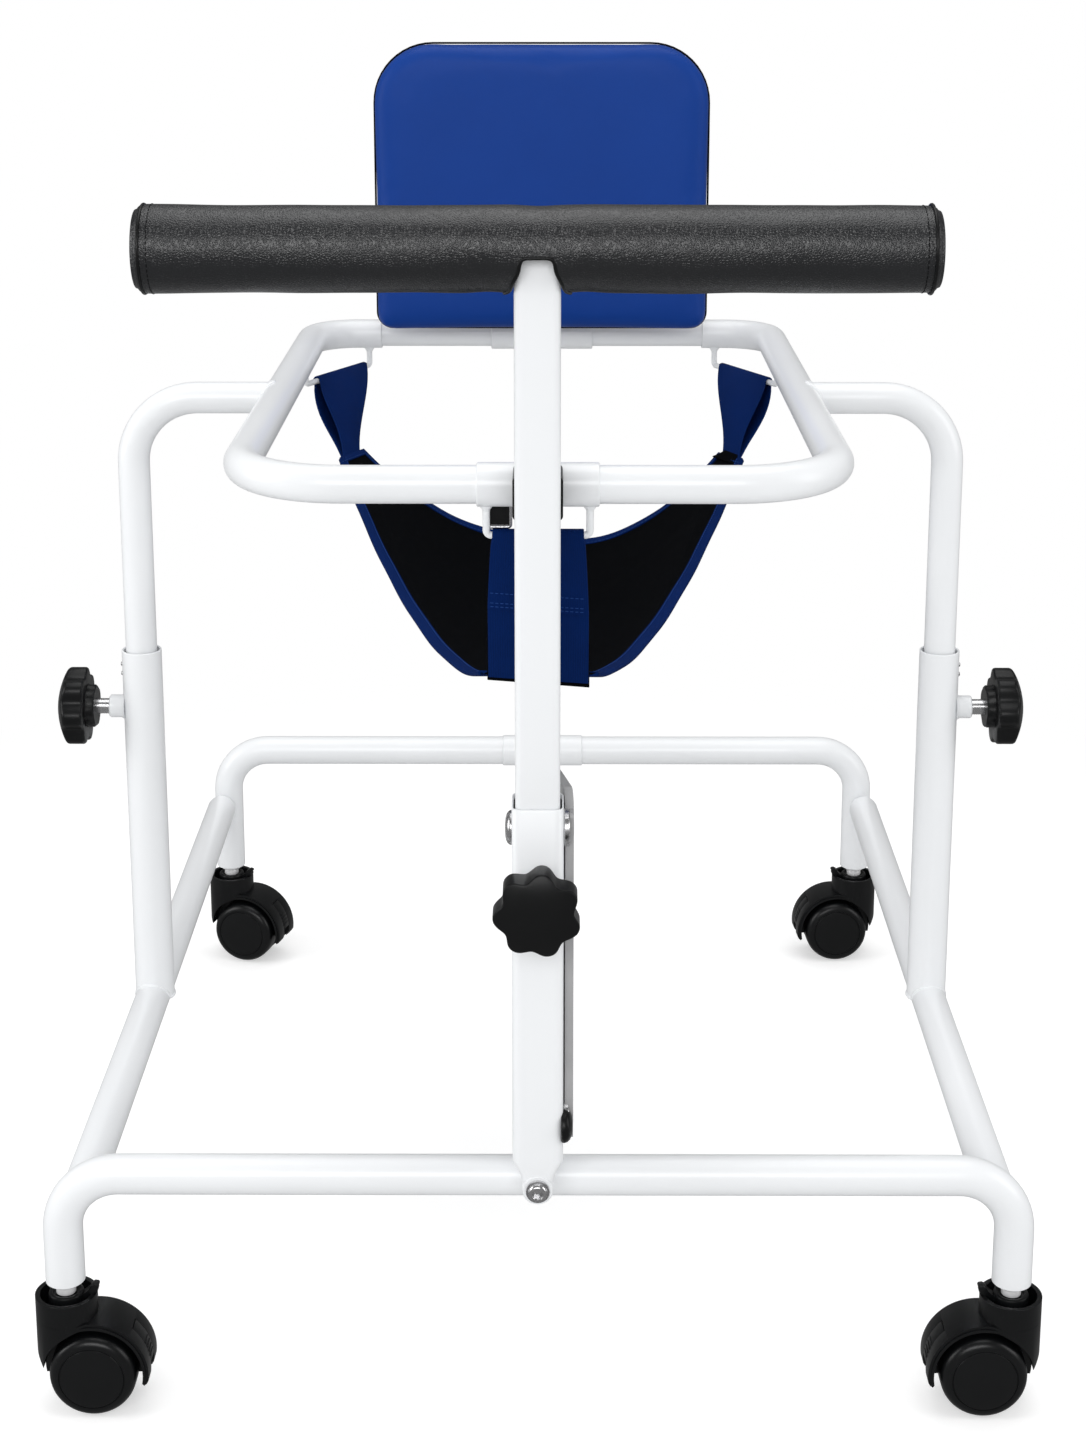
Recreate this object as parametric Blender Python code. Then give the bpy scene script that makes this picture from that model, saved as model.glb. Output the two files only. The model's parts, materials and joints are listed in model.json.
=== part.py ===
"""Child's posture walker: a castored tube base, a height-adjustable support ring with a
backrest and a sling saddle, and a padded T-bar on a telescoping front post.

Metres, +Z up. +X is the walker's left-to-right as seen from its front, and +Y runs
from the front post to the backrest. The floor is z = 0.
"""
import math

import bmesh
import bpy
from mathutils import Matrix, Vector

# Clearances
GAP = 0.0003
SLIDE_GAP = 0.0003
WELD_SINK = 0.0008

# Overall plan of the base, leg centre to leg centre
ORIGIN_BEHIND_FRONT_LEGS = 0.3439
FRONT_TRACK = 0.672
REAR_TRACK = 0.638
WHEELBASE = 0.760

# Base tube and its bends
BASE_TUBE_D = 0.028
BASE_TUBE_WALL = 0.0015
BASE_BEND_R = 0.041
FRONT_BAR_Z = 0.178
REAR_BAR_Z = 0.219
LEG_END_Z = 0.0955
RAIL_SPACING = 0.6485
RAIL_FRONT_Z = 0.158
RAIL_REAR_Z = 0.163
RAIL_END_FROM_LEG_AXIS = 0.0138
REAR_COLLAR_D = 0.0305
REAR_COLLAR_LENGTH = 0.080

# Telescoping uprights
UPRIGHT_SPACING = 0.646
UPRIGHT_BEHIND_FRONT_LEGS = 0.325
UPRIGHT_D = 0.025
UPRIGHT_WALL = 0.0015
UPRIGHT_SLEEVE_D = 0.032
UPRIGHT_SLEEVE_TOP_Z = 0.462
UPRIGHT_END_Z = 0.262
ARM_BEND_R = 0.052

# Support ring
RING_Z = 0.6695
RING_TUBE_D = 0.026
RING_TUBE_WALL = 0.0015
RING_WIDTH = 0.413
RING_FRONT_BEHIND_LEGS = 0.029
RING_REAR_BEHIND_LEGS = 0.625
RING_FRONT_BEND_R = 0.075
RING_REAR_BEND_R = 0.040
RING_REAR_OPENING = 0.2916
RING_FRONT_SLEEVE_D = 0.0298
RING_FRONT_SLEEVE_LENGTH = 0.082
RING_REAR_TUBE_WALL = 0.0015
RING_REAR_TUBE_INSERT = 0.018
RING_REAR_SLEEVE_D = 0.0275
RING_REAR_SLEEVE_LENGTH = 0.092

# Wire loops for the sling
LOOP_WIRE_D = 0.005
LOOP_BEND_R = 0.003
LOOP_DROP = 0.035
FRONT_LOOP_WIDTH = 0.0695
REAR_LOOP_DROP = 0.029
REAR_LOOP_AHEAD = 0.095
REAR_LOOP_FROM_TUBE_END = 0.012

# Front post, T-bar and roll
POST_AHEAD_OF_LEGS = 0.030
POST_SIZE = 0.0296
POST_WALL = 0.002
POST_CORNER_R = 0.0045
POST_END_Z = 0.270
POST_SLEEVE_WALL = 0.0021
POST_SLEEVE_CORNER_R = 0.006
POST_SLEEVE_TOP_Z = 0.468
POST_SLEEVE_END_Z = 0.2135
POST_SLEEVE_FLOOR = 0.010
HANDLE_Z = 0.835
HANDLE_TUBE_D = 0.025
HANDLE_TUBE_WALL = 0.002
ROLL_D = 0.056
ROLL_LENGTH = 0.503
ROLL_END_THICKNESS = 0.010
ROLL_END_ROUND = 0.004
ROLL_NOTCH_TOP_WIDTH = 0.020
ROLL_NOTCH_MOUTH_WIDTH = 0.037
ROLL_NOTCH_BELOW_AXIS = 0.003

# Foot boss under the post and its button-head bolt
FOOT_BOSS_D = 0.021
FOOT_BOSS_Z = 0.193
FOOT_BOSS_AHEAD = 0.034
FOOT_BOLT_HEAD_D = 0.0165
FOOT_BOLT_HEAD_H = 0.005
FOOT_BOLT_SHANK_D = 0.008
FOOT_BOLT_SHANK_LENGTH = 0.022

# Star knobs with threaded studs
KNOB_Z = 0.4135
KNOB_D = 0.058
SIDE_KNOB_D = 0.0635
KNOB_LOBES = 7
KNOB_LOBE_DEPTH = 0.0025
KNOB_BODY_H = 0.023
SIDE_KNOB_BODY_H = 0.0245
KNOB_HUB_D = 0.035
KNOB_HUB_H = 0.007
STUD_D = 0.012
STUD_SHOWN = 0.012
SIDE_STUD_SHOWN = 0.0095
STUD_IN_KNOB = 0.012
CLAMP_BOSS_D = 0.020
CLAMP_BOSS_H = 0.009
SIDE_CLAMP_BOSS_H = 0.0125

# Guide block that the post slides along
GUIDE_WIDTH = 0.033
GUIDE_HEIGHT = 0.029
GUIDE_ABOVE_RING_AXIS = 0.0005

# Leg divider panel and its bolts
DIVIDER_THICKNESS = 0.003
DIVIDER_DEPTH = 0.072
DIVIDER_HEIGHT = 0.246
DIVIDER_BOTTOM_Z = 0.222
DIVIDER_BOTTOM_CORNER_R = 0.012
DIVIDER_TOP_CORNER_R = 0.022
DIVIDER_FRONT_OVERHANG = 0.006
DIVIDER_BEND_BEHIND_POST = 0.015
DIVIDER_REAR_INSET = 0.0085
DIVIDER_BOLT_D = 0.008
DIVIDER_BOLT_HEAD_D = 0.016
DIVIDER_BOLT_HEAD_H = 0.0012
SPACER_D = 0.023
SPACER_H = 0.003
GUIDE_SCREW_HEAD_H = 0.0040
BOLT_SEAT_DEPTH = 0.0012
UPPER_BOLT_Z = 0.4495
LOWER_BOLT_Z = 0.240

# Backrest
PAD_WIDTH = 0.295
PAD_HEIGHT = 0.252
PAD_BOTTOM_ABOVE_RING = 0.0105
PAD_THICKNESS = 0.030
PAD_TOP_CORNER_R = 0.052
PAD_BOTTOM_CORNER_R = 0.014
PAD_EDGE_ROUND = 0.009
BOARD_THICKNESS = 0.007
BOARD_MARGIN = 0.012
BACK_POST_SIZE = 0.022
BACK_POST_WALL = 0.002
BACK_POST_CORNER_R = 0.003
BACK_WELD_LEG = 0.002
BACK_POST_HEIGHT = 0.190
BACK_PLATE_WIDTH = 0.090
BACK_PLATE_HEIGHT = 0.120
BACK_PLATE_THICKNESS = 0.003
BACK_PLATE_BOTTOM_ABOVE_RING = 0.060

# Sling saddle and its straps
STRAP_THICKNESS = 0.0044
STRAP_EYE_WALL = 0.0022
FRONT_STRAP_WIDTH = 0.0615
FRONT_STRAP_END_Z = 0.5255
FRONT_STRAP_END_SET_BACK = 0.022
REAR_STRAP_TOP_WIDTH = 0.080
REAR_STRAP_END_WIDTH = 0.027
REAR_STRAP_END_X = 0.1647
REAR_STRAP_END_BEHIND_LEGS = 0.4867
REAR_STRAP_END_Z = 0.5874
SLING_THICKNESS = 0.005
SLING_FRONT_BEHIND_LEGS = 0.0534
SLING_REAR_BEHIND_LEGS = 0.450
SLING_CORNER_REACH = 0.054
SLING_CORNER_CUT = 0.035
SLING_CORNER_START = 0.9
SLING_FRONT_HALF_WIDTH = 0.040
SLING_REAR_HALF_WIDTH = 0.1725
SLING_FRONT_EDGE_Z = 0.5295
SLING_LOW_Z = 0.490
SLING_REAR_EDGE_Z = 0.522
SLING_CORNER_Z = 0.587
SLING_LEG_DIP = 0.200
SLING_LEG_RISE = 1.45

# Casters
WHEEL_D = 0.062
WHEEL_WIDTH = 0.020
WHEEL_EDGE_ROUND = 0.0065
WHEEL_WEB = 0.008
CASTER_TRAIL = 0.020
AXLE_D = 0.006
AXLE_HUB_D = 0.014
HOOD_R = 0.0395
HOOD_CLEARANCE = 0.0045
HOOD_WIDTH = 0.036
HOOD_REAR_ANGLE = -12.0
CUP_D = 0.044
CUP_BORE_D = 0.031
CUP_RIM_Z = 0.0855
CUP_FLOOR_Z = 0.0680
CUP_TAB_H = 0.005
STEM_D = 0.011
STEM_BELOW_LEG = 0.030
STEM_FLANGE_D = 0.0175
STEM_FLANGE_H = 0.003
STEM_PLUG_LENGTH = 0.026
PEDAL_WIDTH = 0.012
PEDAL_THICKNESS = 0.0028
PEDAL_TOP_ANGLE = 46.0
PEDAL_END_ANGLE = 4.0
PEDAL_PIN_D = 0.003
CASTER_TURNS = {
    "front_left": 0.0,
    "front_right": 180.0,
    "rear_left": -17.0,
    "rear_right": 184.0,
}

# Mesh fineness
TUBE_SIDES = 14
BEND_STEPS = 5
WIRE_SIDES = 8
ROUND_SIDES = 24
WHEEL_SIDES = 24
HOOD_STEPS = 14


def y_at(behind_front_legs):
    """World y of a place that many metres behind the front legs."""
    return behind_front_legs - ORIGIN_BEHIND_FRONT_LEGS


# Places that follow from the sizes
FRONT_Y = y_at(0.0)
REAR_Y = y_at(WHEELBASE)
UPRIGHT_Y = y_at(UPRIGHT_BEHIND_FRONT_LEGS)
RING_FRONT_Y = y_at(RING_FRONT_BEHIND_LEGS)
RING_REAR_Y = y_at(RING_REAR_BEHIND_LEGS)
POST_Y = y_at(-POST_AHEAD_OF_LEGS)
BASE_R = BASE_TUBE_D / 2
RING_R = RING_TUBE_D / 2
RING_BORE_R = RING_R - RING_TUBE_WALL
REAR_TUBE_R = RING_BORE_R - SLIDE_GAP
POST_SLEEVE_BORE = POST_SIZE + 2 * SLIDE_GAP
POST_SLEEVE_SIZE = POST_SLEEVE_BORE + 2 * POST_SLEEVE_WALL
SLEEVE_BORE_R = UPRIGHT_D / 2 + SLIDE_GAP
WHEEL_R = WHEEL_D / 2
ARCH_R = WHEEL_R + HOOD_CLEARANCE


def clear_scene():
    """Start from an empty scene."""
    for old in list(bpy.data.objects):
        bpy.data.objects.remove(old, do_unlink=True)


def material(name, color, roughness, metallic=0.0):
    """A Principled material of one colour."""
    mat = bpy.data.materials.new(name)
    mat.use_nodes = True
    shader = mat.node_tree.nodes["Principled BSDF"]
    shader.inputs["Base Color"].default_value = (*color, 1.0)
    shader.inputs["Roughness"].default_value = roughness
    shader.inputs["Metallic"].default_value = metallic
    return mat


def empty(name, location, parent=None, turn_z=0.0):
    """An empty that carries a moving body, on the body's joint axis."""
    obj = bpy.data.objects.new(name, None)
    obj.empty_display_size = 0.03
    obj.location = location
    obj.rotation_euler[2] = math.radians(turn_z)
    obj.parent = parent
    bpy.context.scene.collection.objects.link(obj)
    return obj


def make(name, bm, mat, pivot=(0.0, 0.0, 0.0), parent=None):
    """Turn a bmesh into a named object whose origin is at the pivot, in the parent's frame."""
    bmesh.ops.translate(bm, verts=bm.verts, vec=-Vector(pivot))
    bmesh.ops.recalc_face_normals(bm, faces=bm.faces)
    mesh = bpy.data.meshes.new(name)
    bm.to_mesh(mesh)
    bm.free()
    mesh.materials.append(mat)
    obj = bpy.data.objects.new(name, mesh)
    bpy.context.scene.collection.objects.link(obj)
    obj.location = pivot
    if parent is not None:
        obj.parent = parent
    mesh.shade_smooth()
    mesh.set_sharp_from_angle(angle=math.radians(35))
    return obj


def cutter(name, bm, parent=None):
    """A hidden tool for a Boolean."""
    tool = make(name, bm, CUTTER_MATERIAL, parent=parent)
    tool.hide_render = True
    tool.display_type = 'WIRE'
    return tool


def boolean(obj, tool, operation='DIFFERENCE'):
    """Cut the tool from the object, or join it to the object."""
    mod = obj.modifiers.new(tool.name, 'BOOLEAN')
    mod.operation = operation
    mod.solver = 'EXACT'
    mod.object = tool
    return mod


def bend_path(corners, radii, steps=BEND_STEPS):
    """Centre line through the corners, with each inner corner turned at its own radius."""
    points = [Vector(corners[0])]
    for before, corner, after, radius in zip(corners, corners[1:], corners[2:], radii):
        before, corner, after = Vector(before), Vector(corner), Vector(after)
        inward = (before - corner).normalized()
        outward = (after - corner).normalized()
        half = inward.angle(outward) / 2
        reach = radius / math.tan(half)
        centre = corner + (inward + outward).normalized() * (radius / math.sin(half))
        start = corner + inward * reach - centre
        end = corner + outward * reach - centre
        turn = start.angle(end)
        axis = start.cross(end).normalized()
        for step in range(steps + 1):
            points.append(centre + Matrix.Rotation(turn * step / steps, 3, axis) @ start)
    points.append(Vector(corners[-1]))
    return points


def ring_of(bm, centre, side, up, radius, sides):
    """One ring of vertices, first flat facing the side direction."""
    ring = []
    for i in range(sides):
        angle = 2 * math.pi * (i + 0.5) / sides
        ring.append(bm.verts.new(centre + side * (radius * math.cos(angle)) + up * (radius * math.sin(angle))))
    return ring


def join_rings(bm, first, second):
    """A band of quads between two rings of the same count."""
    count = len(first)
    for i in range(count):
        j = (i + 1) % count
        bm.faces.new((first[i], first[j], second[j], second[i]))


def tube(points, outer_r, inner_r=0.0, sides=TUBE_SIDES):
    """A round tube, or a rod where inner_r is 0, swept along the points with open square ends."""
    bm = bmesh.new()
    points = [Vector(p) for p in points]
    tangents = []
    for i in range(len(points)):
        ahead = points[min(i + 1, len(points) - 1)]
        behind = points[max(i - 1, 0)]
        tangents.append((ahead - behind).normalized())
    side = tangents[0].orthogonal().normalized()
    outer, inner = [], []
    for point, tangent in zip(points, tangents):
        side = (side - tangent * side.dot(tangent)).normalized()
        up = tangent.cross(side)
        outer.append(ring_of(bm, point, side, up, outer_r, sides))
        if inner_r > 0:
            inner.append(ring_of(bm, point, side, up, inner_r, sides))
    for first, second in zip(outer, outer[1:]):
        join_rings(bm, first, second)
    for first, second in zip(inner, inner[1:]):
        join_rings(bm, second, first)
    if inner:
        join_rings(bm, inner[0], outer[0])
        join_rings(bm, outer[-1], inner[-1])
    else:
        bm.faces.new(outer[0])
        bm.faces.new(outer[-1])
    return bm


def rod(start, end, radius, sides=ROUND_SIDES):
    """A straight round rod."""
    return tube([start, end], radius, 0.0, sides)


def box(low, high):
    """A plain box between two corners."""
    bm = bmesh.new()
    bmesh.ops.create_cube(bm, size=1.0)
    size = Vector(high) - Vector(low)
    bmesh.ops.scale(bm, verts=bm.verts, vec=size)
    bmesh.ops.translate(bm, verts=bm.verts, vec=(Vector(high) + Vector(low)) / 2)
    return bm


def rounded_outline(width, height, radii, steps=4):
    """Corner-rounded rectangle about (0, 0), counter-clockwise from the lower right corner."""
    corners = ((1, -1), (1, 1), (-1, 1), (-1, -1))
    points = []
    for index, ((sx, sy), radius) in enumerate(zip(corners, radii)):
        cx = sx * (width / 2 - radius)
        cy = sy * (height / 2 - radius)
        for step in range(steps + 1):
            angle = math.radians(-90 + 90 * index + 90 * step / steps)
            points.append((cx + radius * math.cos(angle), cy + radius * math.sin(angle)))
    return points


def prism(outlines, place):
    """A solid through a stack of outlines. place(u, v, w) gives the world point."""
    bm = bmesh.new()
    loops = []
    for outline, w in outlines:
        loops.append([bm.verts.new(place(u, v, w)) for u, v in outline])
    for first, second in zip(loops, loops[1:]):
        join_rings(bm, first, second)
    bm.faces.new(loops[0])
    bm.faces.new(loops[-1])
    return bm


def square_tube(size, wall, corner_r, low_z, high_z, x, y):
    """An upright square tube with rounded corners and open ends."""
    bm = bmesh.new()
    inner_r = max(corner_r - wall, 0.0008)
    outer = rounded_outline(size, size, [corner_r] * 4, 3)
    inner = rounded_outline(size - 2 * wall, size - 2 * wall, [inner_r] * 4, 3)
    loops = []
    for outline in (outer, inner):
        for z in (low_z, high_z):
            loops.append([bm.verts.new((x + u, y + v, z)) for u, v in outline])
    outer_low, outer_high, inner_low, inner_high = loops
    join_rings(bm, outer_low, outer_high)
    join_rings(bm, inner_high, inner_low)
    join_rings(bm, inner_low, outer_low)
    join_rings(bm, outer_high, inner_high)
    return bm


def turned(profile, start, axis, sides=ROUND_SIDES):
    """A turned solid. The profile is (radius, distance along the axis), closed on the axis."""
    axis = Vector(axis).normalized()
    side = axis.orthogonal().normalized()
    up = axis.cross(side)
    bm = bmesh.new()
    rings = []
    for radius, along in profile:
        centre = Vector(start) + axis * along
        rings.append(ring_of(bm, centre, side, up, radius, sides))
    for first, second in zip(rings, rings[1:]):
        join_rings(bm, first, second)
    bm.faces.new(rings[0])
    bm.faces.new(rings[-1])
    return bm


def cross_frame_path(track, bar_z, y):
    """Centre line of an upside-down U: a cross bar bent down into two legs."""
    half = track / 2
    corners = [(-half, y, LEG_END_Z), (-half, y, bar_z), (half, y, bar_z), (half, y, LEG_END_Z)]
    return bend_path(corners, [BASE_BEND_R, BASE_BEND_R])


def cross_frame(name, track, bar_z, y, collar=None):
    """A cross bar with its two legs, and a collar round its middle where it has one."""
    path = cross_frame_path(track, bar_z, y)
    frame = make(name, tube(path, BASE_R, BASE_R - BASE_TUBE_WALL), WHITE)
    if collar is not None:
        collar_d, collar_length = collar
        ends = [(-collar_length / 2, y, bar_z), (collar_length / 2, y, bar_z)]
        band = tube(ends, collar_d / 2, BASE_R - WELD_SINK)
        boolean(frame, cutter("cut_" + name + "_collar", band), 'UNION')
    return frame


def rail_point(sign, behind_front_legs):
    """A point on a side rail's centre line."""
    share = behind_front_legs / WHEELBASE
    z = RAIL_FRONT_Z + (RAIL_REAR_Z - RAIL_FRONT_Z) * share
    return Vector((sign * RAIL_SPACING / 2, y_at(behind_front_legs), z))


def side_rail(side, sign):
    """A straight rail from a front leg to a rear leg, notched to fit both."""
    start = rail_point(sign, RAIL_END_FROM_LEG_AXIS)
    end = rail_point(sign, WHEELBASE - RAIL_END_FROM_LEG_AXIS)
    rail = make("side_rail_" + side, tube([start, end], BASE_R, BASE_R - BASE_TUBE_WALL), WHITE)
    for place, track, bar_z, y in (("front", FRONT_TRACK, FRONT_BAR_Z, FRONT_Y),
                                   ("rear", REAR_TRACK, REAR_BAR_Z, REAR_Y)):
        leg = tube(cross_frame_path(track, bar_z, y), BASE_R + GAP)
        boolean(rail, cutter("cut_leg_" + place + "_" + side, leg))
    return rail


def clamp_boss(axis, face, direction, height):
    """The threaded boss that a knob's stud screws into, from inside the wall outwards."""
    start = Vector(axis) + Vector(direction) * face
    return rod(start, start + Vector(direction) * (height + WELD_SINK), CLAMP_BOSS_D / 2, 20)


def stud_hole(axis, from_face, to_face, direction):
    """The hole for a knob's stud."""
    start = Vector(axis) + Vector(direction) * from_face
    end = Vector(axis) + Vector(direction) * to_face
    return rod(start, end, STUD_D / 2 + GAP, 12)


def upright_sleeve(side, sign):
    """The outer tube of an upright, on the rail, with the boss for its clamp knob."""
    x = sign * UPRIGHT_SPACING / 2
    rail_z = rail_point(sign, UPRIGHT_BEHIND_FRONT_LEGS).z
    radius = UPRIGHT_SLEEVE_D / 2
    ends = [(x, UPRIGHT_Y, rail_z), (x, UPRIGHT_Y, UPRIGHT_SLEEVE_TOP_Z)]
    sleeve = make("upright_sleeve_" + side, tube(ends, radius, SLEEVE_BORE_R), WHITE)
    axis = (x, UPRIGHT_Y, KNOB_Z)
    outward = (sign, 0, 0)
    boss = clamp_boss(axis, radius - WELD_SINK, outward, SIDE_CLAMP_BOSS_H)
    boolean(sleeve, cutter("cut_boss_" + side, boss), 'UNION')
    hole = stud_hole(axis, SLEEVE_BORE_R / 2, radius + SIDE_CLAMP_BOSS_H + GAP, outward)
    boolean(sleeve, cutter("cut_stud_hole_" + side, hole))
    before = rail_point(sign, UPRIGHT_BEHIND_FRONT_LEGS - 2 * UPRIGHT_SLEEVE_D)
    after = rail_point(sign, UPRIGHT_BEHIND_FRONT_LEGS + 2 * UPRIGHT_SLEEVE_D)
    boolean(sleeve, cutter("cut_rail_" + side, rod(before, after, BASE_R + GAP)))
    return sleeve


def post_sleeve():
    """The square outer tube of the front post, its floor, foot boss and clamp boss."""
    sleeve = make("post_sleeve", square_tube(POST_SLEEVE_SIZE, POST_SLEEVE_WALL, POST_SLEEVE_CORNER_R,
                                             POST_SLEEVE_END_Z, POST_SLEEVE_TOP_Z, 0.0, POST_Y), WHITE)
    half = POST_SLEEVE_BORE / 2 + WELD_SINK
    floor = box((-half, POST_Y - half, POST_SLEEVE_END_Z + WELD_SINK),
                (half, POST_Y + half, POST_SLEEVE_END_Z + POST_SLEEVE_FLOOR))
    boolean(sleeve, cutter("cut_post_floor", floor), 'UNION')
    boss_front = FRONT_Y - BASE_R - FOOT_BOSS_AHEAD
    foot = rod((0, boss_front, FOOT_BOSS_Z), (0, FRONT_Y, FOOT_BOSS_Z), FOOT_BOSS_D / 2, 20)
    boolean(sleeve, cutter("cut_foot_boss", foot), 'UNION')
    web = box((-POST_SLEEVE_SIZE / 2 + GAP, FRONT_Y - BASE_R - POST_SLEEVE_SIZE / 2, FRONT_BAR_Z),
              (POST_SLEEVE_SIZE / 2 - GAP, POST_Y + POST_SLEEVE_SIZE / 2 - GAP,
               POST_SLEEVE_END_Z + 2 * WELD_SINK))
    boolean(sleeve, cutter("cut_foot_web", web), 'UNION')
    axis = (0, POST_Y, KNOB_Z)
    outer = POST_SLEEVE_SIZE / 2
    boss = clamp_boss(axis, outer - WELD_SINK, (0, -1, 0), CLAMP_BOSS_H)
    boolean(sleeve, cutter("cut_front_clamp_boss", boss), 'UNION')
    hole = stud_hole(axis, POST_SLEEVE_BORE / 4, outer + CLAMP_BOSS_H + GAP, (0, -1, 0))
    boolean(sleeve, cutter("cut_front_stud_hole", hole))
    bar = rod((-POST_SLEEVE_SIZE, FRONT_Y, FRONT_BAR_Z), (POST_SLEEVE_SIZE, FRONT_Y, FRONT_BAR_Z),
              BASE_R + GAP)
    boolean(sleeve, cutter("cut_front_bar", bar))
    bolt_hole = rod((0, boss_front - GAP, FOOT_BOSS_Z),
                    (0, boss_front + FOOT_BOLT_SHANK_LENGTH + GAP, FOOT_BOSS_Z),
                    FOOT_BOLT_SHANK_D / 2 + GAP, 12)
    boolean(sleeve, cutter("cut_foot_bolt", bolt_hole))
    for place, sign, z in (("upper", 1, UPPER_BOLT_Z), ("lower", 1, LOWER_BOLT_Z), ("guide", -1, UPPER_BOLT_Z)):
        seat = rod((sign * (outer - BOLT_SEAT_DEPTH - GAP), POST_Y, z), (sign * (outer + GAP), POST_Y, z),
                   DIVIDER_BOLT_D / 2 + GAP, 12)
        boolean(sleeve, cutter("cut_seat_" + place, seat))
    return sleeve


def post_foot_bolt():
    """The button-head bolt in the foot boss."""
    face = FRONT_Y - BASE_R - FOOT_BOSS_AHEAD - GAP
    shank = FOOT_BOLT_SHANK_D / 2
    head = FOOT_BOLT_HEAD_D / 2
    profile = [(shank, -FOOT_BOLT_SHANK_LENGTH), (shank, 0.0), (head, 0.0), (head, FOOT_BOLT_HEAD_H * 0.35),
               (head * 0.86, FOOT_BOLT_HEAD_H * 0.75), (head * 0.5, FOOT_BOLT_HEAD_H)]
    bolt = make("post_foot_bolt", turned(profile, (0, face, FOOT_BOSS_Z), (0, -1, 0), 16), STEEL)
    socket = rod((0, face - FOOT_BOLT_HEAD_H - GAP, FOOT_BOSS_Z),
                 (0, face - FOOT_BOLT_HEAD_H * 0.4, FOOT_BOSS_Z), head * 0.38, 6)
    boolean(bolt, cutter("cut_bolt_socket", socket))
    return bolt


def divider_plate(inner_x, outer_x):
    """The divider's plate: straight beside the post, then bent in behind it, with round corners."""
    front, bend = POST_Y - DIVIDER_FRONT_OVERHANG, POST_Y + DIVIDER_BEND_BEHIND_POST
    rear, top = front + DIVIDER_DEPTH, DIVIDER_BOTTOM_Z + DIVIDER_HEIGHT
    plan = [(inner_x, front), (outer_x, front), (outer_x, bend), (outer_x - DIVIDER_REAR_INSET, rear),
            (inner_x - DIVIDER_REAR_INSET, rear), (inner_x, bend)]
    plate = prism([(plan, DIVIDER_BOTTOM_Z), (plan, top)], lambda u, v, w: (u, v, w))
    divider = make("leg_divider_panel", plate, GREY)
    radii = [DIVIDER_BOTTOM_CORNER_R, DIVIDER_TOP_CORNER_R, DIVIDER_TOP_CORNER_R, DIVIDER_BOTTOM_CORNER_R]
    outline = rounded_outline(DIVIDER_DEPTH, DIVIDER_HEIGHT, radii)
    centre_y, centre_z = (front + rear) / 2, (DIVIDER_BOTTOM_Z + top) / 2
    side_view = prism([(outline, 0.0), (outline, POST_SIZE)], lambda u, v, w: (w, centre_y + u, centre_z + v))
    boolean(divider, cutter("cut_divider_outline", side_view), 'INTERSECT')
    return divider


def leg_divider():
    """The upright plate beside the post, held off it by two washers, with two sunk bolts."""
    inner_x = POST_SLEEVE_SIZE / 2 + GAP + SPACER_H + GAP
    outer_x = inner_x + DIVIDER_THICKNESS
    divider = divider_plate(inner_x, outer_x)
    shank, head = DIVIDER_BOLT_D / 2, DIVIDER_BOLT_HEAD_D / 2
    seat = POST_SLEEVE_SIZE / 2 - BOLT_SEAT_DEPTH
    washer_end = BOLT_SEAT_DEPTH + GAP + SPACER_H
    head_start = outer_x - GAP - DIVIDER_BOLT_HEAD_H
    for place, z in (("upper", UPPER_BOLT_Z), ("lower", LOWER_BOLT_Z)):
        hole = rod((inner_x - GAP, POST_Y, z), (outer_x + GAP, POST_Y, z), shank + GAP, 12)
        boolean(divider, cutter("cut_divider_" + place, hole))
        sink = rod((head_start - GAP, POST_Y, z), (outer_x + GAP, POST_Y, z), head + GAP, 16)
        boolean(divider, cutter("cut_divider_head_" + place, sink))
        profile = [(shank, 0.0), (shank, BOLT_SEAT_DEPTH + GAP), (SPACER_D / 2, BOLT_SEAT_DEPTH + GAP),
                   (SPACER_D / 2, washer_end), (shank, washer_end), (shank, head_start - seat),
                   (head, head_start - seat), (head, outer_x - GAP - seat)]
        make("divider_bolt_" + place, turned(profile, (seat, POST_Y, z), (1, 0, 0), 16), STEEL)
    return divider


def guide_screw():
    """The washer-headed screw on the post sleeve's left side."""
    seat = POST_SLEEVE_SIZE / 2 - BOLT_SEAT_DEPTH
    washer = SPACER_D / 2
    start = BOLT_SEAT_DEPTH + GAP
    profile = [(DIVIDER_BOLT_D / 2, 0.0), (DIVIDER_BOLT_D / 2, start), (washer, start),
               (washer, start + GUIDE_SCREW_HEAD_H * 0.35), (washer * 0.85, start + GUIDE_SCREW_HEAD_H * 0.75),
               (washer * 0.5, start + GUIDE_SCREW_HEAD_H)]
    return make("guide_screw", turned(profile, (-seat, POST_Y, UPPER_BOLT_Z), (-1, 0, 0), 16), STEEL)


def ring_half(side, sign):
    """One C-shaped half of the support ring, with its wire loop for the rear strap."""
    half = RING_WIDTH / 2
    tube_end = RING_REAR_OPENING / 2
    corners = [(sign * GAP, RING_FRONT_Y, RING_Z), (sign * half, RING_FRONT_Y, RING_Z),
               (sign * half, RING_REAR_Y, RING_Z), (sign * tube_end, RING_REAR_Y, RING_Z)]
    path = bend_path(corners, [RING_FRONT_BEND_R, RING_REAR_BEND_R])
    body = make("ring_" + side, tube(path, RING_R, RING_BORE_R), WHITE, parent=UPPER)
    rear_top, rear_low, front_low, front_top = rear_loop_points(sign)
    wire = bend_path([rear_top, rear_low, front_low, front_top], [LOOP_BEND_R, LOOP_BEND_R], 3)
    loop = cutter("cut_loop_" + side, tube(wire, LOOP_WIRE_D / 2, 0.0, WIRE_SIDES), UPPER)
    boolean(body, loop, 'UNION')
    return body


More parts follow.
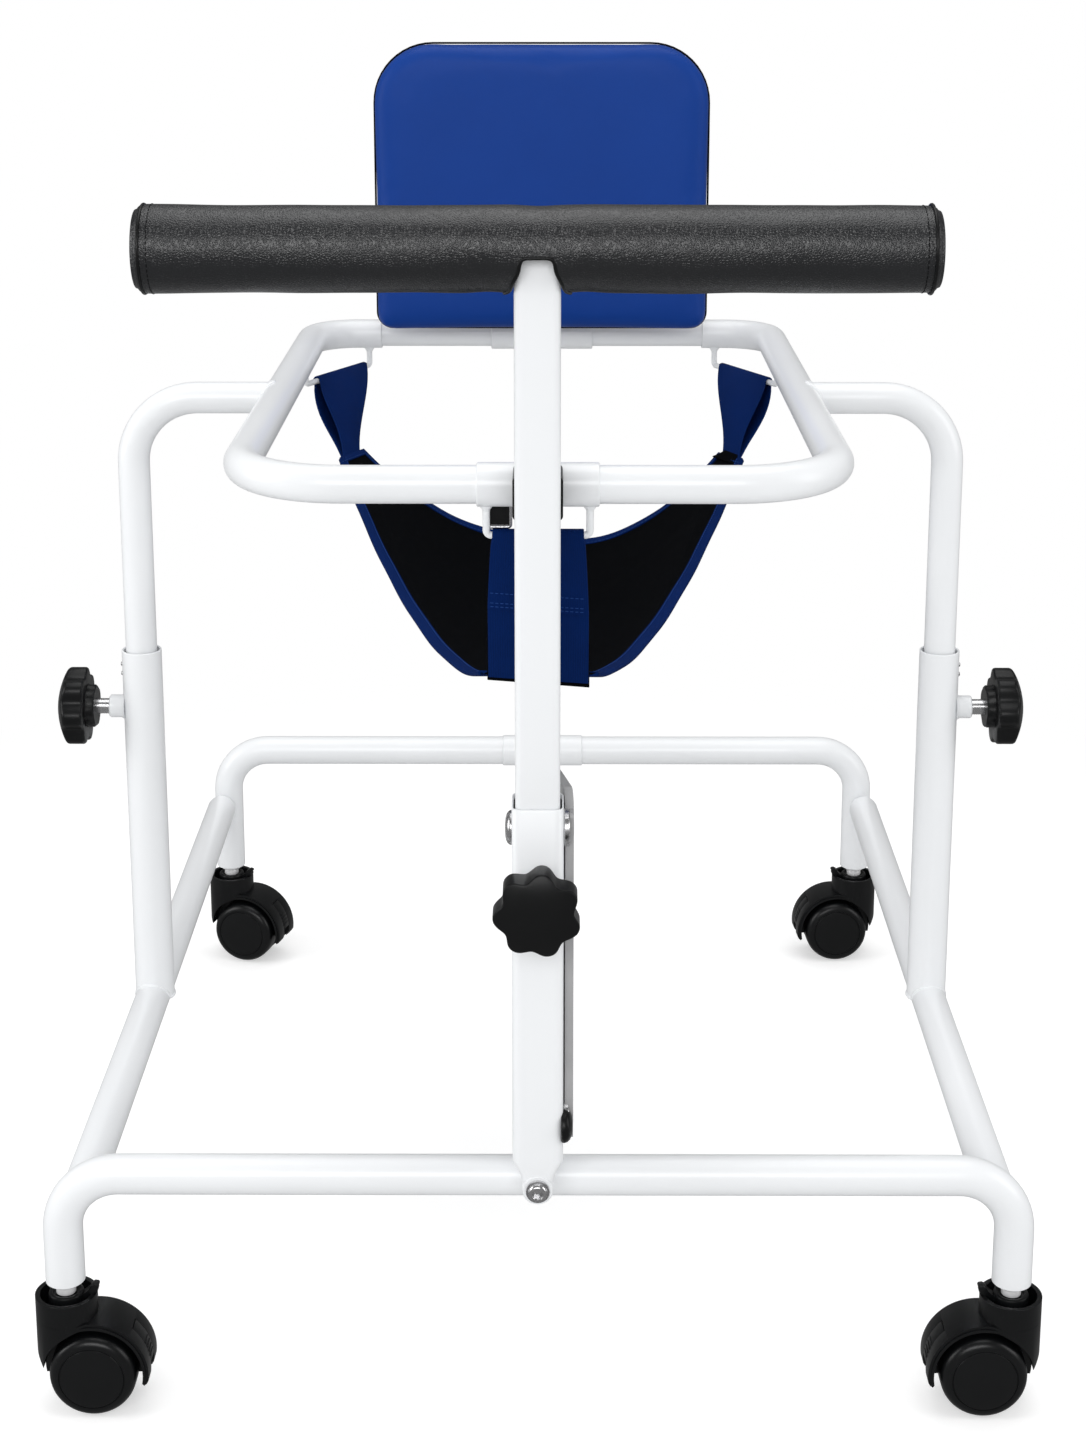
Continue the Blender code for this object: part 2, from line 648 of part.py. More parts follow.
def rear_loop_points(sign):
    """Corners of a rear wire loop, from the rear tube down, along and up to the side tube."""
    top_z = RING_Z - RING_BORE_R - WELD_SINK
    low_z = RING_Z - REAR_LOOP_DROP
    rear_x = sign * (RING_REAR_OPENING / 2 + REAR_LOOP_FROM_TUBE_END)
    front_x = sign * RING_WIDTH / 2
    front_y = RING_REAR_Y - REAR_LOOP_AHEAD
    return (Vector((rear_x, RING_REAR_Y, top_z)), Vector((rear_x, RING_REAR_Y, low_z)),
            Vector((front_x, front_y, low_z)), Vector((front_x, front_y, top_z)))


def ring_centre_pieces():
    """The tubes and sleeves that join the two ring halves, with the front wire loop."""
    insert = RING_REAR_OPENING / 2 + RING_REAR_TUBE_INSERT
    ends = [(-insert, RING_REAR_Y, RING_Z), (insert, RING_REAR_Y, RING_Z)]
    make("ring_rear_tube", tube(ends, REAR_TUBE_R, REAR_TUBE_R - RING_REAR_TUBE_WALL), WHITE, parent=UPPER)
    half = RING_REAR_SLEEVE_LENGTH / 2
    ends = [(-half, RING_REAR_Y, RING_Z), (half, RING_REAR_Y, RING_Z)]
    make("ring_rear_sleeve", tube(ends, RING_REAR_SLEEVE_D / 2, REAR_TUBE_R + GAP), WHITE, parent=UPPER)
    half = RING_FRONT_SLEEVE_LENGTH / 2
    ends = [(-half, RING_FRONT_Y, RING_Z), (half, RING_FRONT_Y, RING_Z)]
    bore = RING_R + GAP
    sleeve = make("ring_front_sleeve", tube(ends, RING_FRONT_SLEEVE_D / 2, bore), WHITE, parent=UPPER)
    loop_half = FRONT_LOOP_WIDTH / 2
    top_z = RING_Z - bore - WELD_SINK
    low_z = RING_Z - LOOP_DROP
    corners = [(-loop_half, RING_FRONT_Y, top_z), (-loop_half, RING_FRONT_Y, low_z),
               (loop_half, RING_FRONT_Y, low_z), (loop_half, RING_FRONT_Y, top_z)]
    wire = tube(bend_path(corners, [LOOP_BEND_R, LOOP_BEND_R], 3), LOOP_WIRE_D / 2, 0.0, WIRE_SIDES)
    boolean(sleeve, cutter("cut_front_loop", wire, UPPER), 'UNION')


def upright_tube(side, sign):
    """The inner tube of an upright, bent inwards at the top and welded to the ring."""
    x = sign * UPRIGHT_SPACING / 2
    corners = [(x, UPRIGHT_Y, UPRIGHT_END_Z), (x, UPRIGHT_Y, RING_Z), (sign * RING_WIDTH / 2, UPRIGHT_Y, RING_Z)]
    path = bend_path(corners, [ARM_BEND_R])
    radius = UPRIGHT_D / 2
    arm = make("upright_tube_" + side, tube(path, radius, radius - UPRIGHT_WALL), WHITE, parent=UPPER)
    ring_side = rod((sign * RING_WIDTH / 2, UPRIGHT_Y - 2 * UPRIGHT_D, RING_Z),
                    (sign * RING_WIDTH / 2, UPRIGHT_Y + 2 * UPRIGHT_D, RING_Z), RING_R + GAP)
    boolean(arm, cutter("cut_arm_" + side, ring_side, UPPER))
    return arm


def post_guide():
    """The plastic block on the ring's front sleeve that the post slides along."""
    centre_z = RING_Z + GUIDE_ABOVE_RING_AXIS
    low = (-GUIDE_WIDTH / 2, POST_Y + POST_SIZE / 2 + SLIDE_GAP, centre_z - GUIDE_HEIGHT / 2)
    high = (GUIDE_WIDTH / 2, RING_FRONT_Y, centre_z + GUIDE_HEIGHT / 2)
    block = make("post_guide_block", box(low, high), BLACK, parent=UPPER)
    saddle = rod((-GUIDE_WIDTH, RING_FRONT_Y, RING_Z), (GUIDE_WIDTH, RING_FRONT_Y, RING_Z),
                 RING_FRONT_SLEEVE_D / 2 + GAP)
    boolean(block, cutter("cut_guide_saddle", saddle, UPPER))
    return block


def back_weld(plate_front, plate_z):
    """The weld that fills the post's rounded corners along the plate."""
    half = BACK_POST_SIZE / 2
    depth = BACK_POST_CORNER_R - WELD_SINK
    outline = [(half + BACK_WELD_LEG, -WELD_SINK / 2), (half - WELD_SINK, depth),
               (-half + WELD_SINK, depth), (-half - BACK_WELD_LEG, -WELD_SINK / 2)]
    reach = BACK_PLATE_HEIGHT / 2 + GAP
    return prism([(outline, -reach), (outline, reach)],
                 lambda u, v, w: (u, plate_front + BACK_PLATE_THICKNESS + v, plate_z + w))


def backrest():
    """The upholstered pad, its board and the post that carries them."""
    sleeve_r = RING_REAR_SLEEVE_D / 2
    plate_front = RING_REAR_Y - sleeve_r
    board_back = plate_front - GAP
    board_front = board_back - BOARD_THICKNESS
    pad_back = board_front - GAP
    pad_bottom = RING_Z + PAD_BOTTOM_ABOVE_RING
    centre_z = pad_bottom + PAD_HEIGHT / 2
    radii = (PAD_BOTTOM_CORNER_R, PAD_TOP_CORNER_R, PAD_TOP_CORNER_R, PAD_BOTTOM_CORNER_R)
    layers = []
    for inset, depth in ((0.0, 0.0), (0.0, PAD_THICKNESS - PAD_EDGE_ROUND),
                         (PAD_EDGE_ROUND * 0.35, PAD_THICKNESS - PAD_EDGE_ROUND * 0.35),
                         (PAD_EDGE_ROUND, PAD_THICKNESS)):
        rounds = [max(radius - inset, 0.002) for radius in radii]
        outline = rounded_outline(PAD_WIDTH - 2 * inset, PAD_HEIGHT - 2 * inset, rounds, 5)
        layers.append((outline, depth))
    pad = prism(layers, lambda u, v, w: (u, pad_back - w, centre_z + v))
    make("backrest_pad", pad, BLUE, parent=UPPER)
    radii = [max(radius - BOARD_MARGIN, 0.004) for radius in radii]
    outline = rounded_outline(PAD_WIDTH - 2 * BOARD_MARGIN, PAD_HEIGHT - 2 * BOARD_MARGIN, radii)
    board = prism([(outline, 0.0), (outline, BOARD_THICKNESS)],
                  lambda u, v, w: (u, board_back - w, centre_z + v))
    make("backrest_board", board, WOOD, parent=UPPER)
    post_front = plate_front + BACK_PLATE_THICKNESS - WELD_SINK
    post_y = post_front + BACK_POST_SIZE / 2
    stem = square_tube(BACK_POST_SIZE, BACK_POST_WALL, BACK_POST_CORNER_R, RING_Z, RING_Z + BACK_POST_HEIGHT,
                       0.0, post_y)
    post = make("backrest_post", stem, WHITE, parent=UPPER)
    plate_z = RING_Z + BACK_PLATE_BOTTOM_ABOVE_RING + BACK_PLATE_HEIGHT / 2
    outline = rounded_outline(BACK_PLATE_WIDTH, BACK_PLATE_HEIGHT, [0.008] * 4)
    plate = prism([(outline, 0.0), (outline, BACK_PLATE_THICKNESS)],
                  lambda u, v, w: (u, plate_front + w, plate_z + v))
    boolean(post, cutter("cut_back_plate", plate, UPPER), 'UNION')
    boolean(post, cutter("cut_back_weld", back_weld(plate_front, plate_z), UPPER), 'UNION')
    saddle = rod((-BACK_POST_SIZE, RING_REAR_Y, RING_Z), (BACK_POST_SIZE, RING_REAR_Y, RING_Z), sleeve_r + GAP)
    boolean(post, cutter("cut_back_saddle", saddle, UPPER))
    return post


def strap(name, eye_centre, bar_direction, end_point, top_width, end_width):
    """Webbing folded over a wire bar: an eye round the bar, then two layers sewn together."""
    eye_centre, end_point = Vector(eye_centre), Vector(end_point)
    along_bar = Vector(bar_direction).normalized()
    down = end_point - eye_centre
    down = down - along_bar * down.dot(along_bar)
    length = down.length
    down.normalize()
    normal = along_bar.cross(down)
    drift = (end_point - eye_centre).dot(along_bar) / length
    inner_r = LOOP_WIRE_D / 2 + GAP
    outer_r = inner_r + STRAP_EYE_WALL
    half = STRAP_THICKNESS / 2
    outer_close = outer_r * 2.2
    inner_close = inner_r * 2.4
    outer = [(length, -half), (outer_close, -half)]
    inner = [(inner_close, 0.0)]
    for step in range(9):
        angle = math.radians(-60 - 240 * step / 8)
        outer.append((outer_r * math.cos(angle), outer_r * math.sin(angle)))
        inner.append((inner_r * math.cos(angle), inner_r * math.sin(angle)))
    outer += [(outer_close, half), (length, half)]
    bm = bmesh.new()

    def corner(point, sign):
        depth, across = point
        share = min(max(depth / length, 0.0), 1.0)
        width = top_width + (end_width - top_width) * share
        place = eye_centre + down * depth + normal * across
        return bm.verts.new(place + along_bar * (sign * width / 2 + drift * depth))

    left_outer = [corner(point, -1) for point in outer]
    right_outer = [corner(point, 1) for point in outer]
    left_inner = [corner(point, -1) for point in inner]
    right_inner = [corner(point, 1) for point in inner]
    join_rings(bm, left_outer, right_outer)
    join_rings(bm, right_inner, left_inner)
    for outer_loop, inner_loop in ((left_outer, left_inner), (right_outer, right_inner)):
        last = len(outer_loop) - 1
        bm.faces.new((outer_loop[0], outer_loop[1], inner_loop[0], outer_loop[last - 1], outer_loop[last]))
        bm.faces.new((outer_loop[1], outer_loop[2], inner_loop[1], inner_loop[0]))
        for i in range(1, len(inner_loop) - 1):
            bm.faces.new((outer_loop[i + 1], outer_loop[i + 2], inner_loop[i + 1], inner_loop[i]))
        bm.faces.new((outer_loop[last - 2], outer_loop[last - 1], inner_loop[0], inner_loop[-1]))
    return make(name, bm, NAVY, parent=UPPER)


def sling_edge(share):
    """Half width, centre height and edge height of the sling at a share of its length."""
    half = SLING_FRONT_HALF_WIDTH + (SLING_REAR_HALF_WIDTH - SLING_FRONT_HALF_WIDTH) * share
    dip = 4 * share * (1 - share)
    line = SLING_FRONT_EDGE_Z + (SLING_REAR_EDGE_Z - SLING_FRONT_EDGE_Z) * share
    centre_z = line + (SLING_LOW_Z - (SLING_FRONT_EDGE_Z + SLING_REAR_EDGE_Z) / 2) * dip
    lift = SLING_CORNER_Z - SLING_FRONT_EDGE_Z + SLING_LEG_DIP
    edge_z = SLING_FRONT_EDGE_Z - SLING_LEG_DIP * share + lift * share ** SLING_LEG_RISE
    return half, centre_z, edge_z


def sling_seat():
    """The saddle: a hammock sheet, narrow in front and wide behind, with raised edges."""
    bm = bmesh.new()
    rows, columns = 10, 10
    front, rear = y_at(SLING_FRONT_BEHIND_LEGS), y_at(SLING_REAR_BEHIND_LEGS)
    top, bottom = [], []
    for row in range(rows + 1):
        share = row / rows
        half, centre_z, edge_z = sling_edge(share)
        y = front + (rear - front) * share
        upper_row, lower_row = [], []
        for column in range(columns + 1):
            across = SLING_CORNER_START * min(max(2 * (column - 1) / (columns - 2) - 1, -1), 1)
            inside = abs(across) / SLING_CORNER_START
            reach = SLING_CORNER_REACH * (inside * share) ** 2
            if column in (0, columns):
                across = across / SLING_CORNER_START
                reach -= SLING_CORNER_CUT * share * share
            z = centre_z + (edge_z - centre_z) * inside * inside
            slope = 2 * (edge_z - centre_z) * inside * math.copysign(1, across) / half
            normal = Vector((-slope, 0, 1)).normalized()
            point = Vector((across * half, y + reach, z))
            upper_row.append(bm.verts.new(point + normal * SLING_THICKNESS / 2))
            lower_row.append(bm.verts.new(point - normal * SLING_THICKNESS / 2))
        top.append(upper_row)
        bottom.append(lower_row)
    for row in range(rows):
        for column in range(columns):
            for sheet in (top, bottom):
                bm.faces.new((sheet[row][column], sheet[row][column + 1],
                              sheet[row + 1][column + 1], sheet[row + 1][column]))
        for column in (0, columns):
            bm.faces.new((top[row][column], top[row + 1][column], bottom[row + 1][column], bottom[row][column]))
    for row in (0, rows):
        for column in range(columns):
            bm.faces.new((top[row][column], top[row][column + 1], bottom[row][column + 1], bottom[row][column]))
    return make("sling_seat", bm, MESH_BLACK, parent=UPPER)


def sling_straps():
    """The front strap and the two rear straps that hang the sling from the ring."""
    front_eye = Vector((0.0, RING_FRONT_Y, RING_Z - LOOP_DROP))
    front_end = Vector((0.0, RING_FRONT_Y + FRONT_STRAP_END_SET_BACK, FRONT_STRAP_END_Z))
    strap("sling_strap_front", front_eye, (1, 0, 0), front_end, FRONT_STRAP_WIDTH, FRONT_STRAP_WIDTH)
    for side, sign in SIDES:
        _, rear_low, front_low, _ = rear_loop_points(sign)
        end = Vector((sign * REAR_STRAP_END_X, y_at(REAR_STRAP_END_BEHIND_LEGS), REAR_STRAP_END_Z))
        strap("sling_strap_" + side, (rear_low + front_low) / 2, front_low - rear_low, end,
              REAR_STRAP_TOP_WIDTH, REAR_STRAP_END_WIDTH)


def t_bar():
    """The inner post, the handle tube on top and the padded roll round it."""
    notch_z = HANDLE_Z - ROLL_NOTCH_BELOW_AXIS
    post = make("post_tube", square_tube(POST_SIZE, POST_WALL, POST_CORNER_R, POST_END_Z, notch_z - GAP, 0.0,
                                         POST_Y), WHITE, parent=T_BAR)
    handle_r = HANDLE_TUBE_D / 2
    inside = ROLL_LENGTH / 2 - ROLL_END_THICKNESS
    cope = rod((-POST_SIZE, POST_Y, HANDLE_Z), (POST_SIZE, POST_Y, HANDLE_Z), handle_r + GAP)
    boolean(post, cutter("cut_post_cope", cope, T_BAR))
    ends = [(-inside + GAP, POST_Y, HANDLE_Z), (inside - GAP, POST_Y, HANDLE_Z)]
    make("handle_tube", tube(ends, handle_r, handle_r - HANDLE_TUBE_WALL), WHITE, parent=T_BAR)
    radius = ROLL_D / 2
    profile = [(radius - ROLL_END_ROUND, 0.0), (radius - ROLL_END_ROUND * 0.3, ROLL_END_ROUND * 0.3),
               (radius, ROLL_END_ROUND), (radius, ROLL_LENGTH - ROLL_END_ROUND),
               (radius - ROLL_END_ROUND * 0.3, ROLL_LENGTH - ROLL_END_ROUND * 0.3),
               (radius - ROLL_END_ROUND, ROLL_LENGTH)]
    roll = make("roll_pad", turned(profile, (-ROLL_LENGTH / 2, POST_Y, HANDLE_Z), (1, 0, 0)), CHARCOAL,
                parent=T_BAR)
    bore = rod((-inside, POST_Y, HANDLE_Z), (inside, POST_Y, HANDLE_Z), handle_r + GAP, TUBE_SIDES)
    boolean(roll, cutter("cut_roll_bore", bore, T_BAR))
    mouth_z = HANDLE_Z - radius
    fit = POST_SIZE / 2 + GAP
    seat = box((-fit, POST_Y - fit, mouth_z - GAP), (fit, POST_Y + fit, notch_z))
    boolean(roll, cutter("cut_roll_seat", seat, T_BAR))
    outline = [(-ROLL_NOTCH_TOP_WIDTH / 2, notch_z), (-ROLL_NOTCH_MOUTH_WIDTH / 2, mouth_z - GAP),
               (ROLL_NOTCH_MOUTH_WIDTH / 2, mouth_z - GAP), (ROLL_NOTCH_TOP_WIDTH / 2, notch_z)]
    notch = prism([(outline, -ROLL_D), (outline, ROLL_D)], lambda u, v, w: (u, POST_Y + w, v))
    boolean(roll, cutter("cut_roll_notch", notch, T_BAR))


def knob_outline(radius):
    """The lobed outline of a star knob."""
    count = KNOB_LOBES * 5
    points = []
    for i in range(count):
        angle = 2 * math.pi * i / count
        wave = (1 - math.cos(KNOB_LOBES * angle)) / 2
        r = radius - KNOB_LOBE_DEPTH * 2 * wave ** 1.4
        points.append((r * math.sin(angle), r * math.cos(angle)))
    return points


def star_knob(side, seat, outward, parent, knob_start, diameter, body_height):
    """A star knob on a threaded stud, screwed into a boss whose face is at the seat."""
    seat, outward = Vector(seat), Vector(outward)
    across = Vector((-outward.y, outward.x, 0))
    body_start = knob_start + KNOB_HUB_H
    radius = diameter / 2

    def place(u, v, w):
        return seat + outward * w + across * u + Vector((0, 0, v))

    hub_count = KNOB_LOBES * 5
    hub = []
    for i in range(hub_count):
        angle = 2 * math.pi * i / hub_count
        hub.append((KNOB_HUB_D / 2 * math.sin(angle), KNOB_HUB_D / 2 * math.cos(angle)))
    layers = [(hub, knob_start), (hub, body_start), (knob_outline(radius - 0.002), body_start),
              (knob_outline(radius), body_start + body_height * 0.15),
              (knob_outline(radius), body_start + body_height * 0.75),
              (knob_outline(radius - 0.0035), body_start + body_height * 0.95),
              (knob_outline(radius - 0.009), body_start + body_height)]
    knob = make("knob_" + side, prism(layers, place), BLACK, pivot=seat - parent.location, parent=parent)
    stud_r = STUD_D / 2
    hole = rod(seat + outward * (knob_start - GAP), seat + outward * (knob_start + STUD_IN_KNOB),
               stud_r + GAP, 12)
    boolean(knob, cutter("cut_knob_" + side, hole))
    return knob


def knobs():
    """The three clamp knobs with their studs, each turning on its stud's axis."""
    sleeve_face = UPRIGHT_SLEEVE_D / 2 + SIDE_CLAMP_BOSS_H
    tip_side = sleeve_face - UPRIGHT_D / 2 - GAP
    post_face = POST_SLEEVE_SIZE / 2 + CLAMP_BOSS_H
    tip_front = post_face - POST_SIZE / 2 - GAP
    front_sizes = (STUD_SHOWN, KNOB_D, KNOB_BODY_H)
    side_sizes = (SIDE_STUD_SHOWN, SIDE_KNOB_D, SIDE_KNOB_BODY_H)
    places = [("front", (0.0, POST_Y - post_face, KNOB_Z), (0, -1, 0), tip_front, front_sizes)]
    for side, sign in SIDES:
        seat = (sign * (UPRIGHT_SPACING / 2 + sleeve_face), UPRIGHT_Y, KNOB_Z)
        places.append((side, seat, (sign, 0, 0), tip_side, side_sizes))
    for side, seat, outward, tip, sizes in places:
        turning = empty("turns_knob_" + side, (0, 0, 0))
        star_knob(side, seat, outward, turning, *sizes)
        direction = Vector(outward)
        start = Vector(seat) - direction * tip
        end = Vector(seat) + direction * (sizes[0] + STUD_IN_KNOB - GAP)
        make("knob_stud_" + side, rod(start, end, STUD_D / 2, 12), STEEL, pivot=seat, parent=turning)


def wheel(name, sign, parent):
    """One wheel of a twin caster, its flat tread facets resting on the floor."""
    inner_face = WHEEL_WEB / 2 + GAP
    full = WHEEL_R / math.cos(math.pi / WHEEL_SIDES)
    edge = WHEEL_EDGE_ROUND
    profile = [(full - edge * 0.5, 0.0), (full, edge * 0.5), (full, WHEEL_WIDTH - edge),
               (full - edge, WHEEL_WIDTH)]
    start = (CASTER_TRAIL, sign * inner_face, WHEEL_R)
    bm = turned(profile, start, (0, sign, 0), WHEEL_SIDES)
    piece = make(name, bm, NYLON, pivot=(CASTER_TRAIL, 0, WHEEL_R), parent=parent)
    bore = rod((CASTER_TRAIL, sign * (inner_face - GAP), WHEEL_R),
               (CASTER_TRAIL, sign * (inner_face + WHEEL_WIDTH * 0.7), WHEEL_R), AXLE_D / 2 + GAP, 12)
    boolean(piece, cutter("cut_bore_" + name, bore, parent))
    return piece


def hood_outline():
    """The hood seen from the side: a fender arc behind the stem and a straight front."""
    centre = Vector((CASTER_TRAIL, WHEEL_R))
    front_x = -CUP_D / 2
    points = []
    top_angle = 104.0
    for step in range(HOOD_STEPS + 1):
        angle = math.radians(HOOD_REAR_ANGLE + (top_angle - HOOD_REAR_ANGLE) * step / HOOD_STEPS)
        points.append((centre.x + HOOD_R * math.cos(angle), centre.y + HOOD_R * math.sin(angle)))
    points.append((front_x + 0.0015, centre.y + HOOD_R * math.sin(math.radians(top_angle))))
    points.append((front_x + 0.0015, WHEEL_R + 0.022))
    points.append((front_x + 0.003, WHEEL_R + 0.014))
    points.append((centre.x - ARCH_R - 0.0018, WHEEL_R + 0.0045))
    points.append((centre.x - ARCH_R + 0.0006, WHEEL_R + 0.005))
    start = math.radians(171.0)
    end = math.radians(HOOD_REAR_ANGLE)
    inner_r = ARCH_R - HOOD_CLEARANCE / 2
    for step in range(HOOD_STEPS + 1):
        angle = start + (end - start) * step / HOOD_STEPS
        points.append((centre.x + inner_r * math.cos(angle), centre.y + inner_r * math.sin(angle)))
    return points


def hood(name, parent):
    """The caster's swivelling hood: fender, web, stem cup and pedal slot."""
    half = HOOD_WIDTH / 2
    outline = hood_outline()
    body = make(name, prism([(outline, -half), (outline, half)], lambda u, v, w: (u, w, v)), NYLON, parent=parent)
    web_r = ARCH_R + HOOD_CLEARANCE / 2
    web = rod((CASTER_TRAIL, -WHEEL_WEB / 2, WHEEL_R), (CASTER_TRAIL, WHEEL_WEB / 2, WHEEL_R), web_r, 20)
    below = box((-HOOD_R, -half, -HOOD_R), (2 * HOOD_R, half, WHEEL_R - AXLE_HUB_D / 2))
    cut_web = make("cut_web_" + name, web, CUTTER_MATERIAL, parent=parent)
    cut_web.hide_render = True
    cut_web.display_type = 'WIRE'
    boolean(cut_web, cutter("cut_below_" + name, below, parent))
    boolean(body, cut_web, 'UNION')
    cup = rod((0, 0, WHEEL_R + ARCH_R * 0.62), (0, 0, CUP_RIM_Z), CUP_D / 2, 20)
    boolean(body, cutter("cut_cup_" + name, cup, parent), 'UNION')
    tab_r = CUP_D / 2 - 0.0004
    tabs = tube([(0, 0, CUP_FLOOR_Z), (0, 0, CUP_RIM_Z + CUP_TAB_H)], tab_r, CUP_BORE_D / 2 + 0.0009, 20)
    tab_tool = make("cut_tabs_" + name, tabs, CUTTER_MATERIAL, parent=parent)
    tab_tool.hide_render = True
    tab_tool.display_type = 'WIRE'
    window = box((-CUP_D, -CUP_D, CUP_FLOOR_Z - GAP), (CUP_D * 0.22, CUP_D, CUP_RIM_Z + 2 * CUP_TAB_H))
    boolean(tab_tool, cutter("cut_window_" + name, window, parent))
    boolean(body, tab_tool, 'UNION')
    hollow = rod((0, 0, CUP_FLOOR_Z), (0, 0, CUP_RIM_Z + 2 * CUP_TAB_H), CUP_BORE_D / 2, 20)
    boolean(body, cutter("cut_hollow_" + name, hollow, parent))
    stem_end = LEG_END_Z - STEM_BELOW_LEG
    stem_bore = rod((0, 0, stem_end - GAP), (0, 0, CUP_FLOOR_Z + GAP), STEM_D / 2 + GAP, 16)
    boolean(body, cutter("cut_stem_" + name, stem_bore, parent))
    for tag, sign in (("a", -1), ("b", 1)):
        cavity = rod((CASTER_TRAIL, sign * WHEEL_WEB / 2, WHEEL_R), (CASTER_TRAIL, sign * HOOD_WIDTH, WHEEL_R),
                     ARCH_R, 24)
        boolean(body, cutter("cut_cavity_" + tag + name, cavity, parent))
    axle_bore = rod((CASTER_TRAIL, -HOOD_WIDTH, WHEEL_R), (CASTER_TRAIL, HOOD_WIDTH, WHEEL_R),
                    AXLE_D / 2 + GAP, 12)
    boolean(body, cutter("cut_axle_" + name, axle_bore, parent))
    slot = arc_plate(PEDAL_WIDTH / 2 + GAP, HOOD_R - PEDAL_THICKNESS - GAP, HOOD_R + PEDAL_THICKNESS,
                     HOOD_REAR_ANGLE - 20.0, PEDAL_TOP_ANGLE + 1.0)
    boolean(body, cutter("cut_slot_" + name, slot, parent))
    return body


def arc_plate(half_width, inner_r, outer_r, start_angle, end_angle, steps=10):
    """A curved plate round the wheel's axle, between two angles above the rear."""
    outline = []
    for radius, first, last in ((outer_r, start_angle, end_angle), (inner_r, end_angle, start_angle)):
        for step in range(steps + 1):
            angle = math.radians(first + (last - first) * step / steps)
            outline.append((CASTER_TRAIL + radius * math.cos(angle), WHEEL_R + radius * math.sin(angle)))
    return prism([(outline, -half_width), (outline, half_width)], lambda u, v, w: (u, w, v))


def pedal_pivot():
    """The pedal's hinge point in the caster's side view."""
    angle = math.radians(PEDAL_TOP_ANGLE)
    radius = HOOD_R - PEDAL_THICKNESS / 2
    return Vector((CASTER_TRAIL + radius * math.cos(angle), 0.0, WHEEL_R + radius * math.sin(angle)))


def brake_pedal(name, parent):
    """The brake pedal set flush into the hood's back, hinged at its upper end."""
    plate = arc_plate(PEDAL_WIDTH / 2, HOOD_R - PEDAL_THICKNESS, HOOD_R, PEDAL_END_ANGLE, PEDAL_TOP_ANGLE, 8)
    return make(name, plate, NYLON, pivot=pedal_pivot(), parent=parent)


def stem(name, x, y):
    """The caster's steel stem, with its flange and the plug that fills the leg's end."""
    plug_r = BASE_R - BASE_TUBE_WALL - GAP
    radius = STEM_D / 2
    profile = [(radius - 0.001, 0.0), (radius, 0.001), (radius, STEM_BELOW_LEG - GAP - STEM_FLANGE_H),
               (STEM_FLANGE_D / 2, STEM_BELOW_LEG - GAP - STEM_FLANGE_H),
               (STEM_FLANGE_D / 2, STEM_BELOW_LEG + GAP), (plug_r, STEM_BELOW_LEG + GAP),
               (plug_r, STEM_BELOW_LEG + STEM_PLUG_LENGTH)]
    bm = turned(profile, (x, y, LEG_END_Z - STEM_BELOW_LEG), (0, 0, 1), TUBE_SIDES)
    return make(name, bm, STEEL, pivot=(x, y, 0))


def caster(place, x, y):
    """One twin-wheel caster: stem, hood, axle, two wheels and the brake pedal."""
    stem("caster_stem_" + place, x, y)
    swivel = empty("swivels_" + place, (x, y, 0), turn_z=CASTER_TURNS[place])
    hood("caster_hood_" + place, swivel)
    reach = WHEEL_WEB / 2 + GAP + WHEEL_WIDTH * 0.6
    axle = rod((CASTER_TRAIL, -reach, WHEEL_R), (CASTER_TRAIL, reach, WHEEL_R), AXLE_D / 2, 12)
    make("caster_axle_" + place, axle, STEEL, parent=swivel)
    wheel("wheel_a_" + place, -1, swivel)
    wheel("wheel_b_" + place, 1, swivel)
    brake_pedal("brake_pedal_" + place, swivel)


def casters():
    """The four casters, each at its own leg and turned as it stands."""
    for end, track, y in (("front", FRONT_TRACK, FRONT_Y), ("rear", REAR_TRACK, REAR_Y)):
        for side, sign in SIDES:
            caster(end + "_" + side, sign * track / 2, y)


SIDES = (("left", -1), ("right", 1))

clear_scene()
WHITE = material("white_powder_coat", (0.86, 0.87, 0.88), 0.32)
BLACK = material("black_plastic", (0.018, 0.018, 0.019), 0.45)
NYLON = material("black_nylon", (0.016, 0.017, 0.018), 0.42)
STEEL = material("bright_steel", (0.72, 0.72, 0.72), 0.2, 1.0)
GREY = material("grey_board", (0.27, 0.27, 0.28), 0.5)
BLUE = material("blue_vinyl", (0.012, 0.045, 0.27), 0.4)
NAVY = material("navy_webbing", (0.005, 0.022, 0.17), 0.75)
MESH_BLACK = material("black_mesh", (0.004, 0.004, 0.005), 0.85)
CHARCOAL = material("charcoal_vinyl", (0.035, 0.036, 0.038), 0.5)
WOOD = material("backing_board", (0.42, 0.30, 0.18), 0.7)
CUTTER_MATERIAL = material("tool", (0.8, 0.2, 0.2), 0.5)
UPPER = empty("slides_upper_frame", (0, 0, 0))
T_BAR = empty("slides_t_bar", (0, 0, 0))

cross_frame("front_cross_tube", FRONT_TRACK, FRONT_BAR_Z, FRONT_Y)
cross_frame("rear_cross_tube", REAR_TRACK, REAR_BAR_Z, REAR_Y, (REAR_COLLAR_D, REAR_COLLAR_LENGTH))
post_sleeve()
post_foot_bolt()
leg_divider()
guide_screw()
for side_name, side_sign in SIDES:
    side_rail(side_name, side_sign)
    upright_sleeve(side_name, side_sign)
    ring_half(side_name, side_sign)
    upright_tube(side_name, side_sign)
ring_centre_pieces()
post_guide()
backrest()
sling_straps()
sling_seat()
t_bar()
knobs()
casters()
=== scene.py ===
"""Looks of a child's posture walker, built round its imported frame.

The walker stands on the floor at z = 0. +X is its left-to-right as seen from the post,
and +Y runs from the post to the backrest. All sizes are metres.
"""
import json
import logging
import math
from collections.abc import Sequence
from dataclasses import dataclass
from enum import Enum, StrEnum

import bmesh
import bpy
import numpy as np
from mathutils import Matrix, Vector
from mathutils.noise import noise

